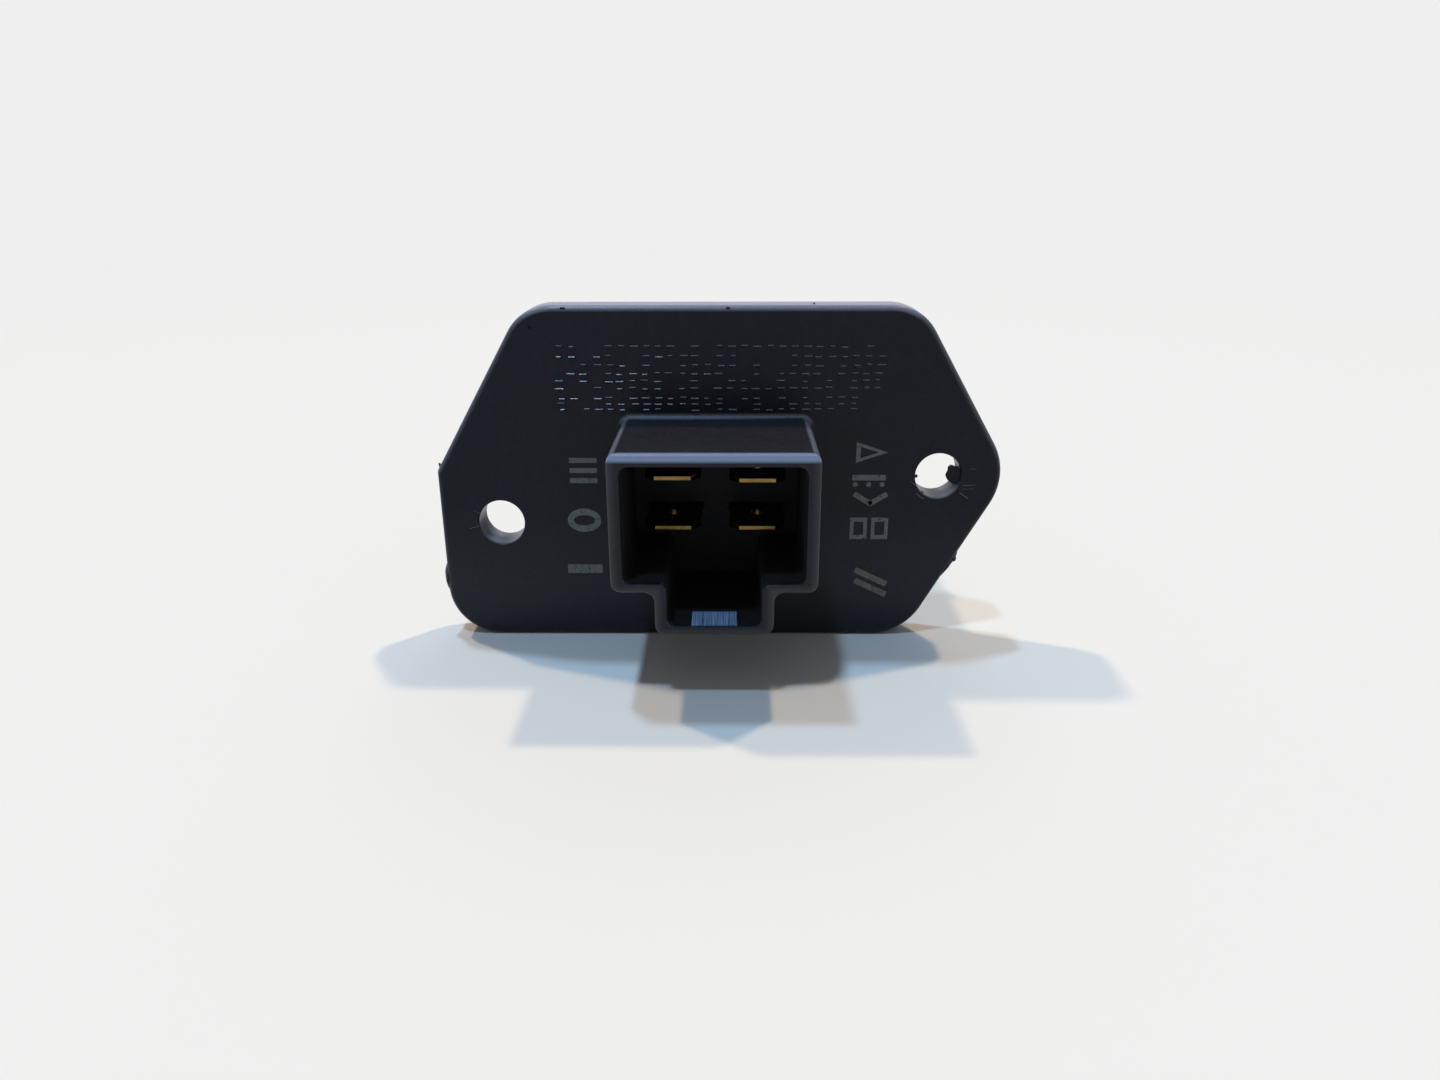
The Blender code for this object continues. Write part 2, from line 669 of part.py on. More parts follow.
def make_rivet(place):
    x, z, side = BLADES[place]
    start = -BLADE_THICK / 2 - FIT
    end = BLADE_THICK / 2 + FIT + STRIP_THICK + FIT
    dome = [(RIVET_HEAD_THICK * along, RIVET_HEAD_R * across) for along, across in RIVET_DOME]
    profile = [(start - along, radius) for along, radius in reversed(dome)]
    profile += [(start, RIVET_R), (end, RIVET_R)]
    profile += [(end + along, radius) for along, radius in dome]
    mesh = bmesh.new()
    add_turned(mesh, Vector((x, RIVET_Y, z)), Vector((0, 0, side)), profile, sides=16)
    new_object("rivet_" + place, mesh, new_material("rivet_brass_" + place, (0.66, 0.52, 0.26), 1, 0.3))


# Coils

def coil_axis_z(row):
    wire_r, coil_r, _ = LONG_COILS[row]
    face, up = outer_face(row)
    return face + up * (FIT + wire_r + coil_r)


def make_long_coil(row):
    """A coil along X whose tails run out to the two posts of its row."""
    wire_r, coil_r, turns = LONG_COILS[row]
    face, up = outer_face(row)
    wire_z = face + up * (FIT + wire_r)
    axis_z = coil_axis_z(row)
    half = POST_INNER_X - LONG_COIL_GAP
    tail_end = POST_OUTER_X - STRIP_THICK - FIT
    first = Vector((-half, LONG_COIL_Y, wire_z))
    last = Vector((half, LONG_COIL_Y, wire_z))
    steps = turns * TURN_POINTS
    path = [Vector((-tail_end, tail_y(-1), wire_z))]
    for step in range(TAIL_STEPS):
        angle = TAIL_STEP * step
        path.append(first + Vector((sin(angle) - 1, -cos(angle), 0)) * TAIL_BEND)
    for step in range(steps + 1):
        angle = 2 * pi * step / TURN_POINTS
        path.append(Vector((-half + 2 * half * step / steps,
                            LONG_COIL_Y + coil_r * sin(angle),
                            axis_z - up * coil_r * cos(angle))))
    for step in reversed(range(TAIL_STEPS)):
        angle = TAIL_STEP * step
        path.append(last + Vector((1 - sin(angle), cos(angle), 0)) * TAIL_BEND)
    path.append(Vector((tail_end, tail_y(1), wire_z)))
    new_wire("coil_" + row, path, wire_r, new_material("nichrome_" + row, (0.23, 0.21, 0.19), 1, 0.42))


def make_side_coil():
    """A coil along Y between the two right-hand posts, with its tails under and over them."""
    low = strip_faces("lower_right")[1] + FIT + SIDE_WIRE_R
    high = strip_faces("upper_right")[0] - FIT - SIDE_WIRE_R
    radius = (high - low) / 2
    x = POST_INNER_X - SIDE_GAP - SIDE_WIRE_R - radius
    axis_z = (low + high) / 2
    start = TAIL_Y + SIDE_COIL_ROOM
    end = start + SIDE_COIL_LENGTH
    tail_end = POST_OUTER_X - FIT
    turns = SIDE_TURNS + 0.5
    steps = round(turns * TURN_POINTS)
    path = [Vector((tail_end, start, high))]
    for step in range(steps + 1):
        angle = 2 * pi * turns * step / steps
        path.append(Vector((x - radius * sin(angle),
                            start + SIDE_COIL_LENGTH * step / steps,
                            axis_z + radius * cos(angle))))
    path.append(Vector((tail_end, end, low)))
    new_wire("coil_side", path, SIDE_WIRE_R, new_material("nichrome_side", (0.26, 0.24, 0.21), 1, 0.4))


# Thermal fuse

def fuse_axis():
    """The fuse lies along Y, level with the gap between the two rows."""
    x = -(POST_INNER_X - SIDE_GAP - FUSE_R)
    z = (strip_faces("lower_left")[1] + strip_faces("upper_right")[0]) / 2
    return x, z


def make_fuse_case():
    x, z = fuse_axis()
    flat_r = FUSE_R - FUSE_ROUND
    profile = [(FUSE_ROUND - along, flat_r + across) for along, across in reversed(quarter(FUSE_ROUND))]
    profile.append((FUSE_LENGTH, FUSE_R))
    mesh = bmesh.new()
    add_turned(mesh, Vector((x, FUSE_Y, z)), Vector((0, 1, 0)), profile)
    new_object("fuse_case", mesh, new_material("fuse_can", (0.62, 0.62, 0.60), 1, 0.3))


def make_fuse_seal():
    x, z = fuse_axis()
    shoulder = (SEAL_LENGTH * SEAL_SHOULDER[0], FUSE_R * SEAL_SHOULDER[1])
    profile = [(0, FUSE_R), shoulder, (SEAL_LENGTH, SEAL_TIP_R)]
    mesh = bmesh.new()
    add_turned(mesh, Vector((x, SEAL_Y, z)), Vector((0, 1, 0)), profile)
    new_object("fuse_seal", mesh, new_material("fuse_epoxy", (0.42, 0.30, 0.12), 0, 0.45))


def make_fuse_leads():
    x, z = fuse_axis()
    copper = new_material("tinned_copper_front", (0.58, 0.55, 0.50), 1, 0.33)
    lap_z = strip_faces("upper_left")[0] - FIT - LEAD_R
    out = FUSE_Y - FIT
    bend = out - LEAD_STUB
    lap = bend - LEAD_RISE_RUN
    front = [Vector((x, out, z)), Vector((x, bend, z)),
             Vector((x, lap, lap_z)), Vector((x, lap - LEAD_LAP, lap_z))]
    new_wire("fuse_lead_front", bent_path(front, LEAD_BEND), LEAD_R, copper)
    lap_z = strip_faces("upper_right")[0] - FIT - LEAD_R
    bend = BACK_LEAD_Y + LEAD_STUB
    lap_x = -POST_INNER_X
    back = [Vector((x, BACK_LEAD_Y, z)), Vector((x, bend, z)), Vector((lap_x, bend + LEAD_RISE_RUN, lap_z)),
            Vector((lap_x - LEAD_LAP, bend + LEAD_RISE_RUN, lap_z))]
    copper = new_material("tinned_copper_back", (0.58, 0.55, 0.50), 1, 0.33)
    new_wire("fuse_lead_back", bent_path(back, LEAD_BEND), LEAD_R, copper)


# Support card

def make_support_card():
    """A stiff card that holds the posts' ends apart."""
    high = strip_faces("upper_right")[1] + CARD_MARGIN
    outline = rounded_outline(box_corners(-CARD_HALF_WIDTH, CARD_HALF_WIDTH, CARD_LOW, high, CARD_CORNER_R))
    mesh = bmesh.new()
    add_loft(mesh, [upright(outline, CARD_Y), upright(outline, CARD_Y + CARD_THICK)])
    card = new_object("support_card", mesh, new_material("phenolic_card", (0.27, 0.13, 0.06), 0, 0.6))
    cutters = bmesh.new()
    sill = CARD_LOW + WINDOW_SILL
    head = strip_faces("lower_right")[0] - CARD_MARGIN
    jamb = POST_INNER_X - WINDOW_JAMB
    window = rounded_outline(box_corners(-jamb, jamb, sill, head, WINDOW_CORNER_R))
    add_loft(cutters, [upright(window, CARD_Y - CARD_THICK), upright(window, CARD_Y + 2 * CARD_THICK)])
    middle = POST_OUTER_X - POST_WIDTH / 2
    half = TAB_WIDTH / 2 + SLOT_FIT
    for place in ("upper_right", "lower_right"):
        low_z, high_z = strip_faces(place)
        for side in (-1, 1):
            add_box(cutters, (side * middle - half, CARD_Y - CARD_THICK, low_z - SLOT_FIT),
                    (side * middle + half, CARD_Y + 2 * CARD_THICK, high_z + SLOT_FIT))
    combine(card, new_helper("cut_card", cutters), "DIFFERENCE")


def main():
    for item in list(bpy.data.objects):
        bpy.data.objects.remove(item)
    make_mounting_plate()
    for place in BLADES:
        make_blade(place)
        make_rivet(place)
    for place in ("upper_right", "lower_left", "lower_right"):
        make_leg(place)
    make_fuse_foot()
    make_fuse_post()
    make_long_coil("upper")
    make_long_coil("lower")
    make_side_coil()
    make_fuse_case()
    make_fuse_seal()
    make_fuse_leads()
    make_support_card()


main()
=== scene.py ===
# %% [markdown]
# # A blower motor resistor, dressed in Blender
#
# The real part is a palm-sized black moulding that screws into an air duct. Its front
# carries the socket for the car's plug, and its back holds the resistor coils in the
# air stream. We load the measured solids as a fixed frame, and then model each piece
# afresh over them with the same tools that a hand would use.

import json
from math import cos, hypot, pi, radians, sin
from random import Random

import bmesh
import bpy
from mathutils import Matrix, Vector

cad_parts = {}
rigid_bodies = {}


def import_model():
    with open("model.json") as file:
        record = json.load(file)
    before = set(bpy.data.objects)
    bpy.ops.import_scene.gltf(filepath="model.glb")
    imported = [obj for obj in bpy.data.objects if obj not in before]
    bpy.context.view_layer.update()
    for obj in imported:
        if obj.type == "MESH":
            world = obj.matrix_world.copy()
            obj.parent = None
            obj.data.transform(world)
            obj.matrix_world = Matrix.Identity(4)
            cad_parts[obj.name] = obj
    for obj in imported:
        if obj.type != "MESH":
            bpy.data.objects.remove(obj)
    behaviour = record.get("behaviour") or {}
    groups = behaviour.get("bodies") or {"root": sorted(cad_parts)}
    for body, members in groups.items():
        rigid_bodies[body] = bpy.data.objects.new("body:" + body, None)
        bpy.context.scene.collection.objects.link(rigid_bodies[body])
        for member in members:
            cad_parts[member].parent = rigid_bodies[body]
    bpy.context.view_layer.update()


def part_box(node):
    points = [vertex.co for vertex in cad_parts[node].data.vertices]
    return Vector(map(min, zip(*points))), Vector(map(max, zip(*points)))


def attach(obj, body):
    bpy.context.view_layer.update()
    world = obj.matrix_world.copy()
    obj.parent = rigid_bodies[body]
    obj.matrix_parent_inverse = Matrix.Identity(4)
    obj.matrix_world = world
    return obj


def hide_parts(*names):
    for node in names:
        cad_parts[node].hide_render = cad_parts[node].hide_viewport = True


for item in list(bpy.data.objects):
    bpy.data.objects.remove(item)
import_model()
MM = 0.001

# %% [markdown]
# ## Tools that stand in for the mouse
#
# An operator works on whatever is selected. By hand we would click on it. Here we pick
# vertices, edges and faces by asking where they are, which never misses and can be run
# again. Each tool below leaves only its own piece selected.

# %% Hold, settle and pick
SELECT_MODE = {"VERT": (True, False, False), "EDGE": (False, True, False), "FACE": (False, False, True)}


def hold(*items):
    """Select these objects and nothing else."""
    bpy.ops.object.select_all(action="DESELECT")
    for item in items:
        item.select_set(True)
    bpy.context.view_layer.objects.active = items[0]


def settle(item):
    """Move an object's place, turn and size into its mesh."""
    hold(item)
    bpy.ops.object.transform_apply(location=True, rotation=True, scale=True)
    return item


def pick(item, kind, test):
    """In edit mode, select the parts of one kind that pass a test."""
    hold(item)
    bpy.context.tool_settings.mesh_select_mode = SELECT_MODE[kind]
    bpy.ops.object.mode_set(mode="EDIT")
    bpy.ops.mesh.select_all(action="DESELECT")
    mesh = bmesh.from_edit_mesh(item.data)
    parts = {"VERT": mesh.verts, "EDGE": mesh.edges, "FACE": mesh.faces}[kind]
    picked = [part for part in parts if test(part)]
    for part in picked:
        part.select_set(True)
    mesh.select_flush_mode()
    bmesh.update_edit_mesh(item.data)
    return len(picked)


def leave():
    bpy.ops.object.mode_set(mode="OBJECT")


# %% Tests for picking
def middle(part):
    """The middle of an edge or a face."""
    corners = [vertex.co for vertex in part.verts]
    return sum(corners, Vector()) / len(corners)


def near(a, b, gap=0.01 * MM):
    return abs(a - b) < gap


def everything(part):
    return True


def at(axis, place):
    """A test: does a vertex, or the whole of an edge, lie at this place on an axis?"""
    return lambda part: all(near(getattr(v.co, axis), place) for v in getattr(part, "verts", (part,)))


def runs_along(axis):
    """A test: do the ends of an edge differ on this axis?"""
    return lambda edge: not near(*(getattr(v.co, axis) for v in edge.verts))


# %% Blocks, drums, rounded edges and cuts
TURNS = {"x": (0, pi / 2, 0), "y": (pi / 2, 0, 0), "z": (0, 0, 0)}     # to turn Z onto each axis


def new_shape(kind, name, **options):
    """One of Blender's own shapes, with its size and turn moved into its mesh."""
    bpy.ops.object.select_all(action="DESELECT")
    getattr(bpy.ops.mesh, "primitive_" + kind + "_add")(**options)
    item = bpy.context.active_object
    item.name = name
    return settle(item)


def block(name, low, high):
    """A box between two corners."""
    centre = [(a + b) / 2 for a, b in zip(low, high)]
    size = [b - a for a, b in zip(low, high)]
    return new_shape("cube", name, size=1, location=centre, scale=size)


def drum(name, centre, axis, radius, length, sides=48):
    """A cylinder along an axis."""
    return new_shape("cylinder", name, vertices=sides, radius=radius, depth=length, location=centre,
                     rotation=TURNS[axis])


def round_edges(item, test, radius, segments=3):
    """Bevel the edges that pass a test."""
    count = pick(item, "EDGE", test)
    if count:
        bpy.ops.mesh.bevel(offset=radius, segments=segments, affect="EDGES", clamp_overlap=False)
    leave()
    return count


def modify(item, kind, **settings):
    """Put one modifier on a piece and apply it."""
    hold(item)
    step = item.modifiers.new(kind.lower(), kind)
    for key, value in settings.items():
        setattr(step, key, value)
    bpy.ops.object.modifier_apply(modifier=step.name)
    return item


def soften(item, radius, segments=2, angle=40):
    """Bevel every sharp edge a little."""
    return modify(item, "BEVEL", width=radius, segments=segments, limit_method="ANGLE",
                  angle_limit=radians(angle), use_clamp_overlap=True)


def combine(item, tool, operation):
    modify(item, "BOOLEAN", solver="EXACT", operation=operation, object=tool)
    bpy.data.objects.remove(tool)
    return item


def weld(item, tool):
    """Add a tool to a piece, exactly, and put the tool aside."""
    return combine(item, tool, "UNION")


def cut(item, tool):
    """Cut a tool out of a piece, exactly, and put the tool aside."""
    return combine(item, tool, "DIFFERENCE")


# %% Slicing, pulling and pushing
def slice_at(item, axis, *places):
    """Cut the mesh through at some places on an axis, keeping both sides."""
    way = Vector([float(letter == axis) for letter in "xyz"])
    for place in places:
        pick(item, "VERT", everything)
        bpy.ops.mesh.bisect(plane_co=way * place, plane_no=way)
        leave()


def merge_flats(angle=1.0):
    """In edit mode, dissolve every edge between faces that lie flat, and leave."""
    bpy.ops.mesh.select_all(action="SELECT")
    bpy.ops.mesh.dissolve_limited(angle_limit=radians(angle))
    leave()


def heal():
    """In edit mode, merge doubled vertices and turn every face outwards, and leave."""
    bpy.ops.mesh.select_all(action="SELECT")
    bpy.ops.mesh.remove_doubles(threshold=0.001 * MM)
    bpy.ops.mesh.normals_make_consistent(inside=False)
    leave()


def pull(way):
    """In edit mode, extrude what is selected by a vector."""
    bpy.ops.mesh.extrude_region_move(TRANSFORM_OT_translate={"value": way})


def draw_out(item, test, way):
    """Extrude the faces that pass a test by a vector."""
    pick(item, "FACE", test)
    pull(way)
    leave()


def push(item, test, way, **options):
    """Move the vertices that pass a test."""
    pick(item, "VERT", test)
    bpy.ops.transform.translate(value=way, **options)
    leave()


def roughen(item, test, reach, seed):
    """Shift the vertices that pass a test a little, each its own way."""
    pick(item, "VERT", test)
    bpy.ops.transform.vertex_random(offset=reach, seed=seed)
    leave()


def scale_ring(item, y, size, centre):
    """Scale the vertices at one place along Y about a centre."""
    pick(item, "VERT", at("y", y))
    bpy.ops.transform.resize(value=size, center_override=centre)
    leave()


def join_all(items, name):
    """Make one object of several."""
    hold(*items)
    bpy.ops.object.join()
    whole = bpy.context.active_object
    whole.name = name
    return settle(whole)


def new_object(name, data):
    """An object that shows some data."""
    item = bpy.data.objects.new(name, data)
    bpy.context.scene.collection.objects.link(item)
    return item


# %% [markdown]
# ## Where the camera stands
#
# The photograph was taken from about 11 cm away with a wide lens, tilted 20 degrees down.
# The lens and the place were solved from the straight edges of the plate and of the
# socket, so the render lies over the photograph without any fitting.

# %% Camera
SENSOR = 36                        # its width in mm
FOCUS = 998 / 1440                 # focal length as a share of the picture's width
EYE = (1.5 * MM, -116.6 * MM, 54.42 * MM)
PITCH = radians(20)
YAW = radians(0.65)
ROLL = radians(-0.15)


def make_camera():
    ahead = Vector((-sin(YAW) * cos(PITCH), cos(YAW) * cos(PITCH), -sin(PITCH)))
    level = Vector((cos(YAW), sin(YAW), 0))
    right = level * cos(ROLL) + level.cross(ahead) * sin(ROLL)
    turn = Matrix((right, right.cross(ahead), -ahead)).transposed()
    data = bpy.data.cameras.new("camera")
    data.sensor_width = SENSOR
    data.lens = SENSOR * FOCUS
    data.clip_start = 5 * MM
    camera = new_object("camera", data)
    camera.matrix_world = Matrix.Translation(EYE) @ turn.to_4x4()
    bpy.context.scene.camera = camera
    return data.lens


print("lens", round(make_camera(), 2), "mm on a", SENSOR, "mm sensor")

# %% [markdown]
# ## Groups that several finishes share
#
# Plastic, brass and steel all gather dust, get worn at their edges and vary from place to
# place, and the plastic gets a painted sheen on its rounded tops. Each effect is a node
# group, built once, that puts out a value, a mask or a normal. The shader itself stays in
# each material, with its own constants.

# %% Node helpers
def new_group(name, inputs, outputs):
    """A shader group. Its inputs are numbers with defaults, and its outputs have a kind each."""
    group = bpy.data.node_groups.new(name, "ShaderNodeTree")
    for label, value in inputs.items():
        socket = group.interface.new_socket(label, in_out="INPUT", socket_type="NodeSocketFloat")
        socket.default_value = value
    for label, kind in outputs.items():
        group.interface.new_socket(label, in_out="OUTPUT", socket_type="NodeSocket" + kind)
    return group, group.nodes.new("NodeGroupInput").outputs, group.nodes.new("NodeGroupOutput").inputs


def feed(tree, socket, value):
    """Link an output to a socket, or write a number or a colour into it."""
    if hasattr(value, "is_output"):
        tree.links.new(value, socket)
    else:
        socket.default_value = (*value, 1) if isinstance(value, (tuple, list)) else value


def add(tree, kind, links={}, values={}, **options):
    """A node, with its inputs given by name and its options by attribute."""
    node = tree.nodes.new("ShaderNode" + kind)
    for key, value in options.items():
        setattr(node, key, value)
    for label, value in values.items():
        node.inputs[label].default_value = value
    for label, source in links.items():
        tree.links.new(source, node.inputs[label])
    return node


def ramp(tree, source, low, high):
    """Stretch a value so that low becomes 0 and high becomes 1."""
    node = add(tree, "MapRange", values={"From Min": low, "From Max": high}, links={"Value": source})
    return node.outputs["Result"]


def blend(tree, share, first, second):
    """Mix two colours. Each is a colour or an output."""
    node = add(tree, "Mix", data_type="RGBA")
    tree.links.new(share, node.inputs["Factor"])
    ends = [socket for socket in node.inputs if socket.name in ("A", "B") and socket.type == "RGBA"]
    for socket, value in zip(ends, (first, second)):
        feed(tree, socket, value)
    return [out for out in node.outputs if out.type == "RGBA"][0]


def work(tree, operation, *parts):
    """A sum on values, from left to right. Each is a number or an output."""
    result = parts[0]
    for part in parts[1:]:
        node = add(tree, "Math", operation=operation)
        for socket, value in zip(node.inputs, (result, part)):
            feed(tree, socket, value)
        result = node.outputs[0]
    return result


def times(tree, *parts):
    return work(tree, "MULTIPLY", *parts)


def largest(tree, *parts):
    return work(tree, "MAXIMUM", *parts)


def vary(tree, source, swing, base):
    """A base value, plus a share of a source."""
    return work(tree, "ADD", times(tree, source, swing), base)


def axes(tree, vector):
    """The X, Y and Z of a vector."""
    return add(tree, "SeparateXYZ", links={"Vector": vector}).outputs


def own_place(tree):
    """Where a point lies on the object."""
    return add(tree, "TexCoord").outputs["Object"]


def speckle(tree, size, detail, roughness=0.5):
    """Noise over the object."""
    noise = add(tree, "TexNoise", values={"Detail": detail, "Roughness": roughness},
                links={"Vector": own_place(tree), "Scale": size})
    return noise.outputs[0]


def fibres(tree, scale, detail):
    """Noise over the object, drawn out along one axis or two."""
    stretch = add(tree, "Mapping", values={"Scale": scale}, links={"Vector": own_place(tree)})
    noise = add(tree, "TexNoise", values={"Scale": 1.0, "Detail": detail},
                links={"Vector": stretch.outputs[0]})
    return noise.outputs[0]


# %% The shared effects
def make_blotch_group():
    """Slow change from place to place: a value about 0.5."""
    group, start, ends = new_group("Blotches", {"Size": 200.0, "Contrast": 1.0}, {"Value": "Float"})
    centred = work(group, "SUBTRACT", speckle(group, start["Size"], 4.0, 0.6), 0.5)
    group.links.new(vary(group, centred, start["Contrast"], 0.5), ends["Value"])
    return group


def make_grain_group():
    """The fine grain of a surface, as a normal and a mask of its high spots."""
    group, start, ends = new_group("Grain", {"Size": 3000.0, "Depth": 0.02, "Strength": 0.3},
                                   {"Normal": "Vector", "Spots": "Float"})
    height = speckle(group, start["Size"], 3.0, 0.7)
    bump = add(group, "Bump", links={"Height": height, "Strength": start["Strength"],
                                     "Distance": start["Depth"]})
    group.links.new(bump.outputs[0], ends["Normal"])
    group.links.new(ramp(group, height, 0.6, 0.72), ends["Spots"])
    return group


def make_dust_group():
    """Dust that has settled: most on faces that look up, in patches."""
    group, start, ends = new_group("Settled dust", {"Amount": 0.4, "Patch size": 260.0}, {"Mask": "Float"})
    upward = ramp(group, axes(group, add(group, "NewGeometry").outputs["Normal"])["Z"], -0.6, 1.0)
    patches = ramp(group, speckle(group, start["Patch size"], 6.0, 0.65), 0.42, 0.72)
    group.links.new(times(group, upward, patches, start["Amount"]), ends["Mask"])
    return group


def make_wear_and_sheen_group():
    """Two masks for rounded edges: Mask for rubbed ridges, and a painted highlight on curves that look up.
    """
    group, start, ends = new_group("Rubbed edges and painted sheen", {"Amount": 0.6, "Break up": 900.0},
                                   {"Mask": "Float", "PaintedSheen": "Float"})
    geometry = add(group, "NewGeometry").outputs
    normal = axes(group, geometry["Normal"])
    squareness = largest(group, *(work(group, "ABSOLUTE", normal[axis], 0) for axis in "XYZ"))
    curved = ramp(group, squareness, 0.997, 0.93)
    upward = ramp(group, normal["Z"], 0.05, 0.75)
    broken = ramp(group, speckle(group, start["Break up"], 3.0), 0.35, 0.65)
    ridge = ramp(group, geometry["Pointiness"], 0.51, 0.62)
    group.links.new(times(group, ridge, curved, broken, start["Amount"]), ends["Mask"])
    # painted highlight: lighter colour on curves that look up, standing for light from above
    painted_sheen = times(group, upward, curved, vary(group, broken, 0.4, 0.8), start["Amount"])
    group.links.new(painted_sheen, ends["PaintedSheen"])
    return group


BLOTCHES = make_blotch_group()
GRAIN = make_grain_group()
DUST = make_dust_group()
WEAR_AND_SHEEN = make_wear_and_sheen_group()
print("groups:", ", ".join(group.name for group in (BLOTCHES, GRAIN, DUST, WEAR_AND_SHEEN)))

# %% [markdown]
# ## Finishes
#
# The moulding is a glass-filled nylon: nearly black with a cold tint, satin rather than
# glossy, with a fine sparkle of filler. The metals are thin sheet and wire: brass blades,
# plated steel strips, and nichrome that has been red hot and kept a brown skin.

# %% Start a material and dress it
def new_finish(name, **constants):
    """A Principled material whose constants sit on the shader's own sockets."""
    material = bpy.data.materials.new(name)
    material.use_nodes = True
    shader = material.node_tree.nodes["Principled BSDF"]
    for label, value in constants.items():
        shader.inputs[label.replace("_", " ")].default_value = value
    return material, material.node_tree, shader


def place_group(tree, group, **values):
    """A shared effect with its own numbers. Gives its outputs."""
    node = tree.nodes.new("ShaderNodeGroup")
    node.node_tree = group
    for label, value in values.items():
        node.inputs[label.replace("_", " ")].default_value = value
    return node.outputs


def coat(tree, colour, *layers):
    """Lay colours over a colour, each with the share it covers."""
    for share, tint in layers:
        colour = blend(tree, share, colour, tint)
    return colour


def dress(tree, shader, colour, rough, normal):
    """Link what changes over the surface."""
    for label, source in (("Base Color", colour), ("Roughness", rough), ("Normal", normal)):
        tree.links.new(source, shader.inputs[label])


# %% [markdown]
# ### Black moulding
#
# One piece, but it doesn't look the same all over. The hollow of the socket is rougher,
# with its colour lifted a little as painted fill light, its lip is rubbed, and the rims
# that face the window get a painted blue highlight where they are seen along the surface.
# The latch's slope gets a painted blue reflection, and the face is painted lighter towards
# the bottom, a painted reflection of the floor. Each such place is a soft box in
# millimetres, given by two corners and the width of its border.

# %% Places on the moulding
BAY = ((-10.7, -19.2, 13.3), (10.2, -2.0, 27.3), 0.7)
STEM = ((-6.1, -19.2, 8.3), (5.6, -2.0, 13.9), 0.7)
LIP = ((-12.0, -19.2, 7.0), (12.0, -17.9, 29.0), 0.7)
BROW = ((-11.6, -19.1, 27.2), (11.1, -17.9, 28.6), 0.4)          # the lip's top edge
ROOF = ((-11.6, -18.2, 27.6), (11.1, -2.6, 28.3), 0.25)          # the socket's top face
ROOT = ((-11.6, -2.9, 27.7), (11.1, -1.8, 28.4), 0.2)            # where the roof meets the plate
LATCH_SLOPE = ((-2.75, -18.4, 8.5), (2.25, -16.6, 9.8), 0.1)
BORES = ((-26.35, 14.95, 0.3), (26.25, 20.85, 0.1))              # x, z and the glint's share
BORE = 2.8
# the stretch of the streaks in the latch slope's painted reflection
REFLECTION_STREAKS = (9000, 300, 300)


def inside_box(tree, place, low, high, soft):
    """1 inside a box given in mm, 0 outside, with a soft border."""
    sides = [ramp(tree, place[axis], (edge - way * soft / 2) * MM, (edge + way * soft / 2) * MM)
             for axis, least, most in zip("XYZ", low, high) for edge, way in ((least, 1), (most, -1))]
    return times(tree, *sides)


